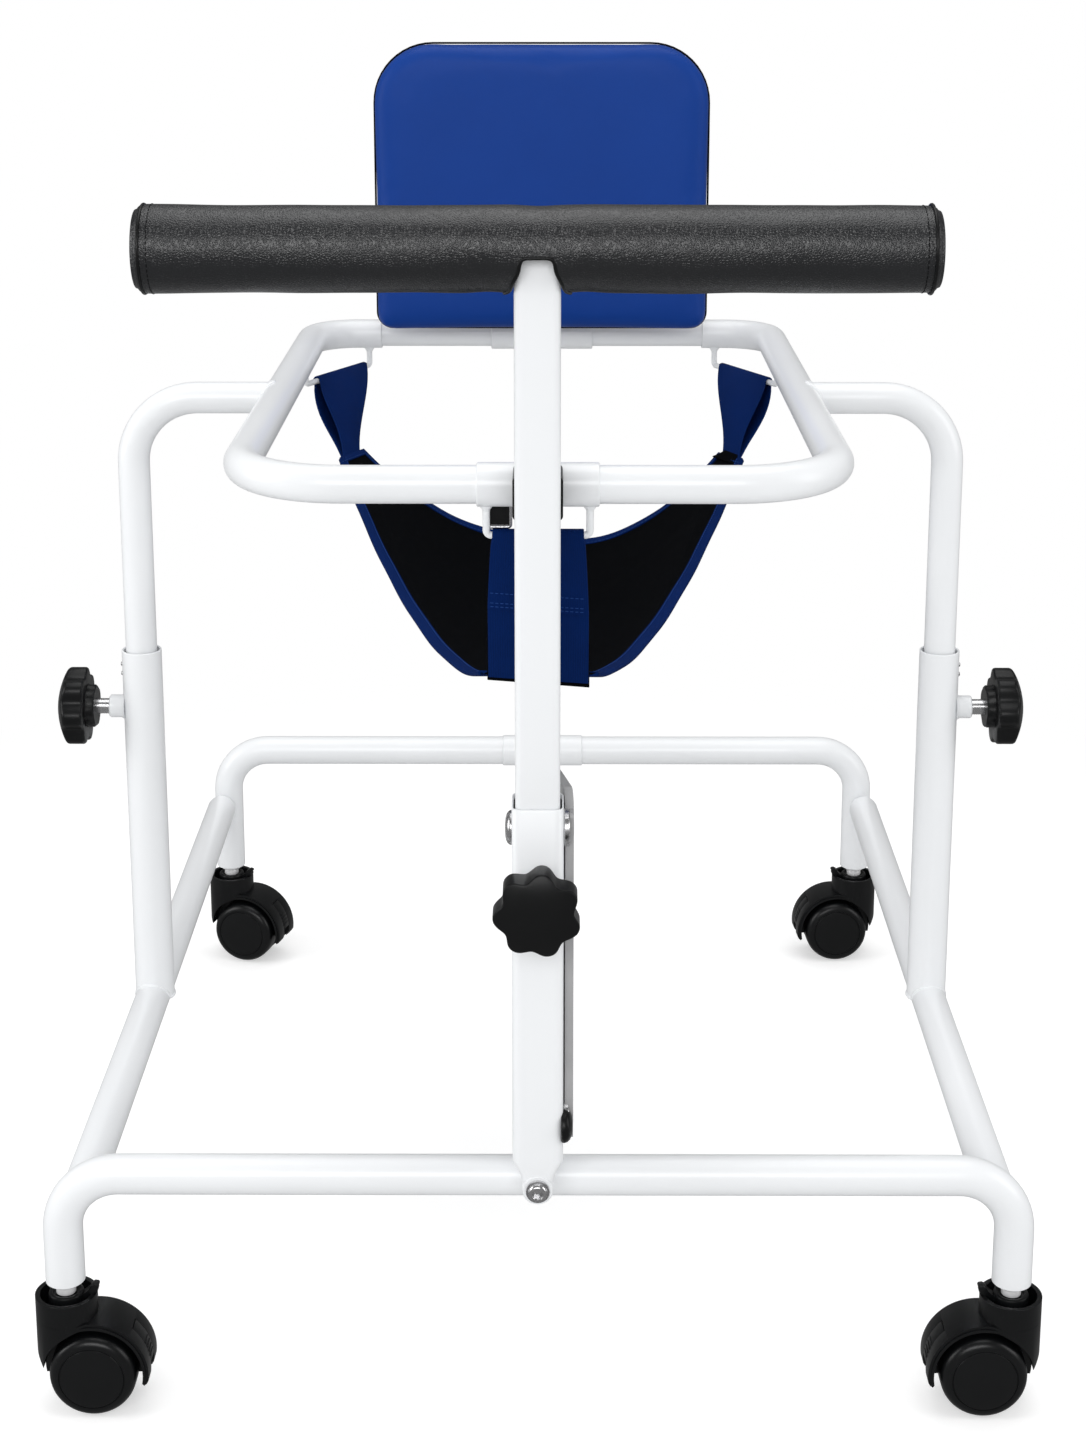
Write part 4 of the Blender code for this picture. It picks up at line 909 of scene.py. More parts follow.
@dataclass(frozen=True)
class Plan:
    """Where the main parts stand, and the sizes that more than one class needs."""

    origin_behind_front_legs: float = 0.3439
    front_track: float = 0.672
    rear_track: float = 0.638
    wheelbase: float = 0.760
    leg_end_z: float = 0.0955
    tube_r: float = 0.014
    upright_spacing: float = 0.646
    upright_behind: float = 0.325
    ring_z: float = 0.6695
    ring_width: float = 0.413
    ring_front_behind: float = 0.029
    ring_rear_behind: float = 0.625
    front_sleeve_r: float = 0.0149
    rear_sleeve_r: float = 0.01375
    wire_r: float = 0.0025
    front_loop_drop: float = 0.035
    post_ahead: float = 0.030
    post_size: float = 0.0296
    post_sleeve: float = 0.0344
    knob_z: float = 0.4135
    boss_r: float = 0.0092

    def y(self, behind: float) -> float:
        """The world y of a place that far behind the front legs."""
        return behind - self.origin_behind_front_legs

    @property
    def upright_y(self) -> float:
        """The world y of the uprights."""
        return self.y(self.upright_behind)

    @property
    def ring_front_y(self) -> float:
        """The world y of the ring's front."""
        return self.y(self.ring_front_behind)

    @property
    def ring_rear_y(self) -> float:
        """The world y of the ring's rear."""
        return self.y(self.ring_rear_behind)

    @property
    def post_y(self) -> float:
        """The world y of the post."""
        return self.y(-self.post_ahead)


PLAN = Plan()


def weld_bead(name: str, branch: Sequence[Vector], branch_r: float, main: Sequence[Vector], main_r: float,
              finish: Finish, body: str, size: float) -> None:
    """The bead where a branch tube meets a main tube.

    Args:
        name: The object's name.
        branch: Two points of the branch's axis, from the main tube outwards.
        branch_r: The branch's radius.
        main: Two points of the main tube's axis.
        main_r: The main tube's radius.
        finish: The bead's finish.
        body: The body that it rides on.
        size: The bead's radius.
    """
    outward, axis = (branch[1] - branch[0]).normalized(), (main[1] - main[0]).normalized()
    side = outward.orthogonal().normalized()
    over = outward.cross(side)
    run = outward - axis * outward.dot(axis)
    line = []
    for i, (u, v) in enumerate(circle(branch_r, 56)):
        edge = branch[0] + side * u + over * v
        offset = edge - main[0]
        offset -= axis * offset.dot(axis)
        a, b, c = run.dot(run), 2 * offset.dot(run), offset.dot(offset) - main_r * main_r
        ripple = 0.00018 * math.sin(2 * math.pi * i / 56 * 23)
        line.append(edge + outward * ((-b + math.sqrt(max(b * b - 4 * a * c, 0.0))) / (2 * a) + ripple))
    Form().sweep(line, size, 10, True).done(name, finish, body)


def clamp_boss(word: str, start: Place, out: Place, reach: float, flare: float, finish: Finish) -> None:
    """The threaded boss that a knob's stud goes through.

    Args:
        word: Which knob it belongs to.
        start: Its foot, just inside the sleeve.
        out: The direction that it points in.
        reach: Its length.
        flare: How much wider its weld makes its foot.
        finish: Its finish.
    """
    r = PLAN.boss_r
    boss = [(r + flare, 0.0), (r + flare - 0.0012, 0.0016), (r, flare + 0.0010), (r, reach - 0.0009),
            (r - 0.0009, reach), (0.0056, reach), (0.0052, reach - 0.0008)]
    Form().turn(boss, start, out).done("clamp_boss_" + word, finish, Body.BASE)


# The base


@dataclass
class BaseFrame:
    """The bent cross tubes, the side rails and the upright sleeves."""

    finishes: Wardrobe
    bore_r: float = 0.0123
    bend_r: float = 0.041
    front_bar_z: float = 0.178
    rear_bar_z: float = 0.219
    rail_spacing: float = 0.6485
    rail_front_z: float = 0.158
    rail_rear_z: float = 0.163
    rail_inset: float = 0.0148
    collar_r: float = 0.01525
    collar_length: float = 0.080
    sleeve_r: float = 0.016
    sleeve_bore_r: float = 0.01445
    sleeve_top_z: float = 0.462
    boss_height: float = 0.0113
    liner_drop: float = 0.0045
    liner_length: float = 0.040
    liner_bore_r: float = 0.01262

    def build(self) -> None:
        """Builds the base's tubes."""
        self.cross_tube("front_cross_tube", PLAN.front_track, self.front_bar_z, PLAN.y(0.0))
        rear = self.cross_tube("rear_cross_tube", PLAN.rear_track, self.rear_bar_z, PLAN.y(PLAN.wheelbase))
        self.collar(rear.name)
        for side in Side:
            self.rail(side)
            self.sleeve(side)

    def cross_tube(self, name: str, track: float, bar_z: float, y: float) -> bpy.types.Object:
        """One upside-down U tube.

        Args:
            name: The node that it stands for.
            track: From leg to leg.
            bar_z: The bar's height.
            y: Where it stands.

        Returns:
            The tube.
        """
        half, low = track / 2, PLAN.leg_end_z
        line = along_bends([(-half, y, low), (-half, y, bar_z), (half, y, bar_z), (half, y, low)],
                           [self.bend_r, self.bend_r])
        return Form().pipe(line, PLAN.tube_r, self.bore_r).done(name, self.finishes.white, Body.BASE, name)

    def collar(self, tube: str) -> None:
        """The short thicker stretch in the middle of the rear tube.

        Args:
            tube: The rear tube's name.
        """
        half, y, z = self.collar_length / 2, PLAN.y(PLAN.wheelbase), self.rear_bar_z
        band = Form().pipe([(-half, y, z), (half, y, z)], self.collar_r, PLAN.tube_r - 0.0003, 40, 0.0009)
        band.done(tube + "_collar", self.finishes.white, Body.BASE)

    def rail_point(self, side: Side, behind: float) -> Vector:
        """A point of a rail's axis.

        Args:
            side: The rail.
            behind: How far behind the front legs.

        Returns:
            The point.
        """
        share = behind / PLAN.wheelbase
        z = self.rail_front_z + (self.rail_rear_z - self.rail_front_z) * share
        return Vector((side.value * self.rail_spacing / 2, PLAN.y(behind), z))

    def rail(self, side: Side) -> None:
        """A side rail, rounded over where it is welded to the legs.

        Args:
            side: The rail's side.
        """
        start = self.rail_point(side, self.rail_inset)
        end = self.rail_point(side, PLAN.wheelbase - self.rail_inset)
        r, length = PLAN.tube_r, (end - start).length
        near = [(r * 0.70, 0.0), (r * 0.88, 0.0008), (r * 0.965, 0.0024), (r, 0.0050)]
        profile = near + [(radius, length - reach) for radius, reach in reversed(near)]
        name = "side_rail_" + side.word
        Form().turn(profile, start, end - start, 44).done(name, self.finishes.white, Body.BASE, name)

    def sleeve(self, side: Side) -> None:
        """An upright's outer tube, with its clamp boss, weld bead, liner and rivets.

        Args:
            side: The upright's side.
        """
        x, y, top = side.value * PLAN.upright_spacing / 2, PLAN.upright_y, self.sleeve_top_z
        foot, white = self.rail_point(side, PLAN.upright_behind), self.finishes.white
        name, out = "upright_sleeve_" + side.word, Vector((side.value, 0, 0))
        tube = Form().pipe([(x, y, foot.z), (x, y, top)], self.sleeve_r, self.sleeve_bore_r, 44, 0.0005)
        tube.done(name, white, Body.BASE, name)
        boss_foot = Vector((x, y, PLAN.knob_z)) + out * (self.sleeve_r - 0.0015)
        clamp_boss(side.word, boss_foot, out, self.boss_height + 0.0015, 0.0022, white)
        rail = [self.rail_point(side, 0.0), self.rail_point(side, PLAN.wheelbase)]
        weld_bead("sleeve_weld_" + side.word, [Vector((x, y, foot.z)), Vector((x, y, 1.0))],
                  self.sleeve_r - 0.0004, rail, PLAN.tube_r, white, Body.BASE, 0.0014)
        mouth = top - self.liner_drop
        liner = Form().pipe([(x, y, mouth - self.liner_length), (x, y, mouth)], self.sleeve_bore_r + 0.0002,
                            self.liner_bore_r, 40, 0.0003)
        liner.done("sleeve_liner_" + side.word, self.finishes.black, Body.BASE)
        rivet = [(0.0019, 0.0), (0.0019, 0.0010), (0.0014, 0.0016), (0.0005, 0.0018)]
        for i, drop in enumerate((0.0125, 0.0205)):
            at = Vector((x, y, top - drop)) + out * (self.sleeve_r - 0.0006)
            head = Form().turn(rivet, at, out, 20)
            head.done(f"sleeve_rivet_{i}_{side.word}", self.finishes.steel, Body.BASE)


@dataclass
class PostSleeve:
    """The square outer post with its mouth, foot, clamp boss and foot bolt."""

    finishes: Wardrobe
    corner_r: float = 0.0062
    bore_corner_r: float = 0.0046
    top_z: float = 0.468
    end_z: float = 0.2135
    liner_drop: float = 0.0035
    foot_z: float = 0.193
    foot_r: float = 0.0105
    foot_ahead: float = 0.034
    boss_reach: float = 0.0102
    bolt_head_r: float = 0.00825
    bolt_head_h: float = 0.005

    def build(self) -> None:
        """Builds the sleeve and its fixings."""
        y, half, top = PLAN.post_y, PLAN.post_sleeve / 2, self.top_z
        a, b = PLAN.post_size / 2 + 0.0013, PLAN.post_size / 2 + 0.0005
        outer, bore = rounded_box(half, half, self.corner_r, 8), rounded_box(a, b, self.bore_corner_r, 8)
        rim_out = rounded_box(half - 0.0003, half - 0.0003, self.corner_r - 0.0003, 8)
        rim_in = rounded_box(a + 0.00025, b + 0.00025, self.bore_corner_r + 0.0002, 8)
        layers = [(outer, self.end_z), (outer, top - 0.0004), (rim_out, top), (rim_in, top),
                  (bore, top - 0.0004), (bore, top - 0.060)]
        rings = self.foot_rings() + [[Vector((u, y + v, z)) for u, v in outline] for outline, z in layers]
        Form().loft(rings).done("post_sleeve", self.finishes.white, Body.BASE, "post_sleeve", 60)
        self.liner()
        self.foot_boss()
        clamp_boss("front", (0, y - half + 0.0012, PLAN.knob_z), (0, -1, 0), self.boss_reach, 0.0020,
                   self.finishes.white)
        self.foot_bolt()

    def liner(self) -> None:
        """A thin black band just inside the mouth, which draws the dark gap round the post."""
        half, top = PLAN.post_size / 2, self.top_z - self.liner_drop
        outer = rounded_box(half + 0.0014, half + 0.0006, self.bore_corner_r, 8)
        inner = rounded_box(half + 0.00015, half + 0.00015, self.bore_corner_r, 8)
        layers = [(outer, top - 0.03), (outer, top), (inner, top), (inner, top - 0.03)]
        form = Form().stack(layers, centre=(0, PLAN.post_y, 0))
        form.done("post_liner", self.finishes.black, Body.BASE)

    def foot_rings(self) -> list[Ring]:
        """Sections of the foot that narrows from the sleeve to the round boss, from its end upwards.

        Returns:
            The sections.
        """
        y, half = PLAN.post_y, PLAN.post_sleeve / 2
        sections = ((0.1835, 0.30, 0.0), (0.1860, 0.43, 0.0), (0.1900, 0.53, 0.0), (0.1950, 0.59, 0.0),
                    (0.2000, 0.66, 0.02), (0.2040, 0.74, 0.08), (0.2070, 0.83, 0.25), (0.2095, 0.91, 0.5),
                    (0.2118, 0.97, 0.8), (0.2128, 0.992, 0.95))
        rings = []
        for z, share, drawn in sections:
            a, near = half * share, y - half
            far = y + half * drawn + (PLAN.y(0.0) - y) * (1 - drawn)
            corners = [(a, near), (a, far), (-a, far), (-a, near)]
            outline = rounded_corners(corners, [min(self.corner_r, a * 0.85)] * 4, 8)
            rings.append([Vector((u, v, z)) for u, v in outline])
        return rings

    def foot_boss(self) -> None:
        """The round boss that runs through the foot to the cross tube."""
        front, r = PLAN.y(0.0) - PLAN.tube_r - self.foot_ahead, self.foot_r
        taper = [(r * 0.95, 0.0), (r, 0.0008), (r * 1.02, 0.010), (r * 1.08, 0.020), (r * 1.14, 0.030),
                 (r * 1.20, PLAN.y(0.0) - front)]
        form = Form().turn(taper, (0, front, self.foot_z), (0, 1, 0))
        form.done("post_foot_boss", self.finishes.white, Body.BASE)

    def foot_bolt(self) -> None:
        """The button-head bolt with its washer and its socket."""
        face, steel = PLAN.y(0.0) - PLAN.tube_r - self.foot_ahead - 0.0003, self.finishes.steel
        r, h = self.bolt_head_r, self.bolt_head_h
        profile = [(0.004, -0.020), (0.004, -0.0002), (r, -0.0002), (r, 0.0010), (r * 0.97, 0.0016),
                   (r * 0.93, 0.0017), (r * 0.90, 0.0014), (r * 0.86, 0.0015), (r * 0.80, h * 0.60),
                   (r * 0.68, h * 0.90), (r * 0.56, h), (r * 0.47, h), (r * 0.44, h * 0.93)]
        bolt = Form().turn(profile, (0, face, self.foot_z), (0, -1, 0)).done("post_foot_bolt", steel)
        foot = (0, face - h * 0.35, self.foot_z)
        carve(bolt, Form().turn([(r * 0.44, 0.0), (r * 0.44, h)], foot, (0, -1, 0), 6).done("socket", steel))
        fit(smooth(bolt, 34), steel, Body.BASE, "post_foot_bolt")


@dataclass
class LegDivider:
    """The upright panel beside the post, its bolts, its rubber cup and the screw opposite."""

    finishes: Wardrobe
    spacer_h: float = 0.0004
    washer_h: float = 0.0032
    thickness: float = 0.0058
    depth: float = 0.072
    height: float = 0.2505
    bottom_z: float = 0.222
    overhang: float = 0.006
    bend_behind: float = 0.010
    rear_inset: float = 0.0130
    bottom_r: float = 0.012
    top_r: float = 0.020
    front_drop: float = 0.0115
    step_behind: float = 0.012
    step_run: float = 0.008
    upper_z: float = 0.4495
    lower_z: float = 0.240
    head_r: float = 0.0115

    def build(self) -> None:
        """Builds the panel and its fixings."""
        x = PLAN.post_sleeve / 2 + 0.0006 + self.spacer_h
        self.plate(x)
        r, back, washer, face = self.head_r + 0.0012, -self.spacer_h - 0.0004, self.washer_h, self.thickness
        bolt = [(0.0040, back - 0.0008), (r - 0.0006, back), (r, back + 0.0007), (r, washer - 0.0009),
                (r - 0.0006, washer - 0.0002), (0.0040, washer - 0.0001), (0.0040, face - 0.0012),
                (0.0052, face - 0.0010), (0.0052, face - 0.0002), (0.0048, face + 0.0001),
                (0.0030, face + 0.0001)]
        for name, height in (("divider_bolt_upper", self.upper_z), ("divider_bolt_lower", self.lower_z)):
            form = Form().turn(bolt, (x, PLAN.post_y, height), (1, 0, 0), 40)
            form.done(name, self.finishes.steel, Body.BASE, name)
        self.bumper(x)
        self.screw()

    def plate(self, x: float) -> None:
        """The panel: straight beside the post, bent in behind it, with rounded corners.

        Args:
            x: Its inner face.
        """
        front, low = PLAN.post_y - self.overhang, self.bottom_z
        bend, rear, top = PLAN.post_y + self.bend_behind, front + self.depth, low + self.height
        outer, grey = x + self.thickness, self.finishes.grey
        corners = [(x, front), (outer, front), (outer, bend), (outer - self.rear_inset, rear),
                   (x - self.rear_inset, rear), (x, bend)]
        plan = rounded_corners(corners, [0.0004, 0.0004, 0.030, 0.0004, 0.0004, 0.030])
        panel = Form().prism(plan, low, top).done("leg_divider_panel", grey)
        step, shoulder = front + self.step_behind, top - self.front_drop
        corners = [(rear, low), (rear, top), (step + self.step_run, top), (step, shoulder),
                   (front, shoulder), (front, low)]
        radii = [self.bottom_r, self.top_r, 0.004, 0.003, 0.003, self.bottom_r]
        outline = rounded_corners(corners, radii, 8)
        side = Form().prism(outline, 0.0, 0.04, Plane.YZ)
        carve(panel, side.done("divider_outline", grey), 'INTERSECT')
        fit(soften(panel, 0.0008, angle=50, shade=34), grey, Body.BASE, "leg_divider_panel")

    def bumper(self, x: float) -> None:
        """The black rubber cup over the panel's lower bolt, in front of its edge.

        Args:
            x: The panel's inner face.
        """
        at = (x - 0.0024, PLAN.post_y - self.overhang - 0.0035, self.lower_z - 0.0025)
        cup = [(0.0060, 0.0), (0.0104, 0.0), (0.0114, 0.0008), (0.0117, 0.0022), (0.0110, 0.0044),
               (0.0092, 0.0062), (0.0060, 0.0074), (0.0020, 0.0078)]
        Form().turn(cup, at, (1, 0, 0), 36).done("divider_bumper", self.finishes.black, Body.BASE)

    def screw(self) -> None:
        """The washer-headed screw on the sleeve's left side."""
        r, at = self.head_r, (-PLAN.post_sleeve / 2, PLAN.post_y, self.upper_z)
        head = [(0.0040, -0.001), (r, 0.0001), (r, 0.0010), (r * 0.97, 0.0017), (r * 0.90, 0.0027),
                (r * 0.78, 0.0035), (r * 0.56, 0.0042), (r * 0.22, 0.0045)]
        form = Form().turn(head, at, (-1, 0, 0), 36)
        form.done("guide_screw", self.finishes.steel, Body.BASE, "guide_screw")


# The upper frame


@dataclass
class SupportRing:
    """The ring's halves, sleeves and wire loops, and the arms that carry it."""

    finishes: Wardrobe
    tube_r: float = 0.013
    bore_r: float = 0.0115
    front_bend_r: float = 0.075
    rear_bend_r: float = 0.040
    rear_opening: float = 0.2916
    rear_tube_r: float = 0.0112
    rear_sleeve_length: float = 0.092
    front_sleeve_length: float = 0.082
    wire_bend_r: float = 0.0035
    front_loop_width: float = 0.0695
    rear_loop_drop: float = 0.029
    rear_loop_ahead: float = 0.095
    rear_loop_from_end: float = 0.012
    arm_r: float = 0.0125
    arm_bend_r: float = 0.052
    arm_end_z: float = 0.262
    wall: float = 0.0015

    def build(self) -> None:
        """Builds the ring and its arms."""
        for side in Side:
            self.half(side)
            self.arm(side)
        self.centre_pieces()
        self.front_loop()

    def half(self, side: Side) -> None:
        """One C-shaped half with its wire loop.

        Args:
            side: The half's side.
        """
        s, half, z, name = side.value, PLAN.ring_width / 2, PLAN.ring_z, "ring_" + side.word
        front, rear = PLAN.ring_front_y, PLAN.ring_rear_y
        line = along_bends([(s * 0.0004, front, z), (s * half, front, z), (s * half, rear, z),
                            (s * self.rear_opening / 2, rear, z)], [self.front_bend_r, self.rear_bend_r], 20)
        Form().pipe(line, self.tube_r, self.bore_r).done(name, self.finishes.white, Body.UPPER, name)
        corners = self.rear_loop(side)
        blob = [(0.0048, 0.0), (0.0042, 0.0016), (0.0030, 0.0032), (0.0025, 0.0046)]
        welds = {f"loop_weld_{tag}_{side.word}": (top.x, top.y, z - self.tube_r + 0.0008)
                 for tag, top in (("a", corners[0]), ("b", corners[-1]))}
        self.loop("rear_loop_" + side.word, corners, welds, blob)

    def loop(self, name: str, corners: Sequence[Place], welds: dict[str, Place],
             blob: Sequence[Point]) -> None:
        """A wire loop with its welds.

        Args:
            name: The wire's name.
            corners: The wire's ends and corners.
            welds: Where each weld sits, by name.
            blob: A weld's profile.
        """
        wire = Form().sweep(along_bends(corners, [self.wire_bend_r] * 2, 8), PLAN.wire_r, 20)
        wire.done(name, self.finishes.white, Body.UPPER)
        for weld, at in welds.items():
            Form().turn(blob, at, (0, 0, -1), 24).done(weld, self.finishes.white, Body.UPPER)

    def rear_loop(self, side: Side) -> Ring:
        """The four corners of a rear wire loop.

        Args:
            side: The loop's side.

        Returns:
            From the rear tube down, along and up to the side tube.
        """
        top, low = PLAN.ring_z - self.tube_r + 0.001, PLAN.ring_z - self.rear_loop_drop
        rear_x = side.value * (self.rear_opening / 2 + self.rear_loop_from_end)
        front_x, rear_y = side.value * PLAN.ring_width / 2, PLAN.ring_rear_y
        front_y = rear_y - self.rear_loop_ahead
        return [Vector((rear_x, rear_y, top)), Vector((rear_x, rear_y, low)),
                Vector((front_x, front_y, low)), Vector((front_x, front_y, top))]

    def arm(self, side: Side) -> None:
        """An upright's inner tube, bent in to the ring.

        Args:
            side: The arm's side.
        """
        s, y, z, name = side.value, PLAN.upright_y, PLAN.ring_z, "upright_tube_" + side.word
        x, ring_x = s * PLAN.upright_spacing / 2, s * PLAN.ring_width / 2
        corners = [(x, y, self.arm_end_z), (x, y, z), (ring_x + s * 0.006, y, z)]
        tube = Form().pipe(along_bends(corners, [self.arm_bend_r], 20), self.arm_r, self.arm_r - self.wall)
        tube.done(name, self.finishes.white, Body.UPPER, name)
        centre = Vector((ring_x, y, z))
        weld_bead("arm_weld_" + side.word, [centre, centre + Vector((s, 0, 0))], self.arm_r,
                  [centre, centre + Vector((0, 1, 0))], self.tube_r, self.finishes.white, Body.UPPER, 0.0016)

    def centre_pieces(self) -> None:
        """The tube and the sleeves that join the halves."""
        rear, front, z = PLAN.ring_rear_y, PLAN.ring_front_y, PLAN.ring_z
        reach, thin = self.rear_opening / 2 + 0.018, self.rear_tube_r
        for name, half, y, outer, inner in (
                ("ring_rear_tube", reach, rear, thin, thin - self.wall),
                ("ring_rear_sleeve", self.rear_sleeve_length / 2, rear, PLAN.rear_sleeve_r, thin),
                ("ring_front_sleeve", self.front_sleeve_length / 2, front, PLAN.front_sleeve_r,
                 self.tube_r)):
            tube = Form().pipe([(-half, y, z), (half, y, z)], outer, inner + 0.0001, 40, 0.0007)
            tube.done(name, self.finishes.white, Body.UPPER, name)

    def front_loop(self) -> None:
        """The wire loop of the front strap, with its welds."""
        half, y, under = self.front_loop_width / 2, PLAN.ring_front_y, PLAN.ring_z - PLAN.front_sleeve_r
        top, low = under + 0.001, PLAN.ring_z - PLAN.front_loop_drop
        corners = [(-half, y, top), (-half, y, low), (half, y, low), (half, y, top)]
        blob = [(0.0046, 0.0), (0.0040, 0.0014), (0.0028, 0.0028), (0.0025, 0.0040)]
        welds = {"front_loop_weld_" + side.word: (side.value * half, y, under + 0.0006) for side in Side}
        self.loop("front_loop", corners, welds, blob)


@dataclass
class PostGuide:
    """The plastic block behind the post and the small slide buckle on its left."""

    finishes: Wardrobe
    width: float = 0.033
    height: float = 0.029
    buckle_left: float = -0.0345
    buckle_right: float = -0.0185
    buckle_drop: float = 0.0165
    tab_height: float = 0.0144

    def build(self) -> None:
        """Builds the block and the buckle."""
        front = PLAN.post_y + PLAN.post_size / 2 + 0.0003
        back = PLAN.ring_front_y - PLAN.front_sleeve_r * 0.35
        outline, black = rounded_box(self.width / 2, self.height / 2, 0.003, 5), self.finishes.black
        block = Form().prism(outline, front, back, Plane.XZ, (0, 0, PLAN.ring_z + 0.0005))
        soften(block.done("post_guide_block", black, Body.UPPER, "post_guide_block"), 0.0008)
        self.buckle()

    def buckle(self) -> None:
        """A tab of webbing in a bright wire frame under the front sleeve."""
        y, top = PLAN.ring_front_y + 0.004, PLAN.ring_z - PLAN.front_sleeve_r + 0.001
        low, left, right = top - self.buckle_drop, self.buckle_left, self.buckle_right
        corners = [(left, y, top), (left, y, low), (right, y, low), (right, y, top)]
        wire = Form().sweep(along_bends(corners, [0.002, 0.002], 6), 0.0012, 14)
        wire.done("buckle_frame", self.finishes.steel, Body.UPPER)
        outline = rounded_box((right - left) / 2 - 0.0008, self.tab_height / 2, 0.001, 3)
        middle = ((left + right) / 2, y, (top + low) / 2 + 0.0004)
        tab = Form().prism(outline, -0.0009, 0.0009, Plane.XZ, middle)
        soften(tab.done("buckle_tab", self.finishes.black, Body.UPPER), 0.0004)


@dataclass
class Backrest:
    """The upholstered pad with its welt, the board, and the post with its plate and screws."""

    finishes: Wardrobe
    width: float = 0.295
    height: float = 0.252
    bottom_above_ring: float = 0.0105
    thickness: float = 0.030
    top_r: float = 0.052
    bottom_r: float = 0.014
    edge_round: float = 0.013
    swell: float = 0.005
    cloth_steps: int = 20
    board_thickness: float = 0.007
    board_margin: float = 0.012
    plate: tuple[float, float, float] = (0.090, 0.120, 0.003)
    plate_above_ring: float = 0.060
    post_size: float = 0.022
    post_height: float = 0.190

    @property
    def plate_y(self) -> float:
        """The world y of the plate's front face."""
        return PLAN.ring_rear_y - PLAN.rear_sleeve_r

    @property
    def pad_back(self) -> float:
        """The world y of the pad's back face."""
        return self.plate_y - self.board_thickness - 0.0006

    @property
    def centre_z(self) -> float:
        """The height of the pad's middle."""
        return PLAN.ring_z + self.bottom_above_ring + self.height / 2

    def outline(self, inset: float) -> list[Point]:
        """The pad's outline, drawn in by an inset."""
        radii = [max(r - inset, 0.003) for r in (self.bottom_r, self.top_r, self.top_r, self.bottom_r)]
        return rounded_box(self.width / 2 - inset, self.height / 2 - inset, radii, 12)

    def build(self) -> None:
        """Builds the backrest."""
        self.pad()
        self.welt()
        self.board_and_post()
        self.plate_and_screws()

    def pad(self) -> None:
        """The pad: a rounded slab, swelled by a cloth simulation."""
        back, front = self.pad_back, self.pad_back - self.thickness
        layers = [(self.outline(0.0), back), (self.outline(0.0), back - 0.006)]
        for i in range(1, 9):
            turn = math.pi / 2 * i / 8
            inset = self.edge_round * (1 - math.cos(turn))
            layers.append((self.outline(inset), front + self.edge_round * (1 - math.sin(turn)) + 0.0008))
        rings = [[Vector((u, w, self.centre_z + v)) for u, v in outline] for outline, w in layers]
        centre, edge = Vector((0.0, front + 0.0003, self.centre_z)), rings[-1]
        for share in (0.90, 0.76, 0.60, 0.42, 0.22, 0.04):
            ring = [centre + (p - centre) * share for p in edge]
            for p in ring:
                p.y = front + 0.0003
            rings.append(ring)
        obj = Form().loft(rings).done("backrest_cover", self.finishes.blue, angle=60)
        self.inflate(obj)
        fit(smooth(obj, 60), self.finishes.blue, Body.UPPER, "backrest_pad")

    def inflate(self, obj: bpy.types.Object) -> None:
        """Swells the pad a little under pressure and keeps its back flat.

        Args:
            obj: The pad, whose mesh is replaced.
        """
        mod = obj.modifiers.new("remesh", 'REMESH')
        mod.mode, mod.voxel_size, mod.use_smooth_shade = 'VOXEL', 0.005, True
        freeze(obj)
        rest = np.array([v.co for v in obj.data.vertices])
        cloth = obj.modifiers.new("cloth", 'CLOTH')
        settings = cloth.settings
        settings.quality, settings.mass = 6, 0.4
        settings.use_pressure, settings.uniform_pressure_force = True, 4.0
        settings.tension_stiffness = settings.compression_stiffness = 40.0
        settings.bending_stiffness = 8.0
        settings.effector_weights.gravity = 0.0
        cloth.point_cache.frame_start, cloth.point_cache.frame_end = 1, self.cloth_steps
        for step in range(1, self.cloth_steps + 1):
            bpy.context.scene.frame_set(step)
        depsgraph = bpy.context.evaluated_depsgraph_get()
        moved = np.array([v.co for v in obj.evaluated_get(depsgraph).data.vertices])
        obj.modifiers.clear()
        bpy.context.scene.frame_set(1)
        shift = moved - rest
        length = np.linalg.norm(shift, axis=1, keepdims=True)
        shift *= np.minimum(1.0, self.swell / np.maximum(length, 1e-9))
        back = self.pad_back - 0.0005
        shift[:, 1] = np.minimum(shift[:, 1] * 0.35, back - rest[:, 1])
        depth = np.clip((back - rest[:, 1]) / 0.010, 0.0, 1.0)
        shift[:, 0] *= 0.30 * depth
        shift[:, 2] *= 0.30 * depth
        for vertex, place in zip(obj.data.vertices, rest + shift):
            vertex.co = place
        fine = obj.modifiers.new("fine", 'SUBSURF')
        fine.levels = fine.render_levels = 1
        freeze(obj)

    def welt(self) -> None:
        """The dark seam round the pad's edge with its stitches."""
        thread = self.finishes.pad_thread
        line, row = ([Vector((u, self.pad_back - ahead, self.centre_z + v)) for u, v in self.outline(inset)]
                     for ahead, inset in ((0.0045, -0.0002), (0.0072, -0.0004)))
        Form().sweep(line, 0.0009, 8, True).done("pad_seam", thread, Body.UPPER)
        stitches("pad_stitches", row + [row[0]], thread, Body.UPPER, 0.0034, 0.00030)

    def board_and_post(self) -> None:
        """The board and the square post."""
        back, half = self.plate_y - 0.0003, self.post_size / 2
        board = Form().prism(self.outline(self.board_margin), back, back - self.board_thickness, Plane.XZ,
                             (0, 0, self.centre_z))
        soften(board.done("backrest_board", self.finishes.board, Body.UPPER, "backrest_board"), 0.001)
        square = rounded_box(half, half, 0.0035, 5)
        inner, rim = ([(u * share, v * share) for u, v in square] for share in (0.82, 0.98))
        top = PLAN.ring_z + self.post_height
        layers = [(square, PLAN.ring_z + 0.004), (square, top - 0.0004), (rim, top), (inner, top),
                  (inner, top - 0.05)]
        post = Form().stack(layers, centre=(0, self.plate_y + self.plate[2] + half, 0))
        post.done("backrest_post", self.finishes.white, Body.UPPER, "backrest_post", 50)

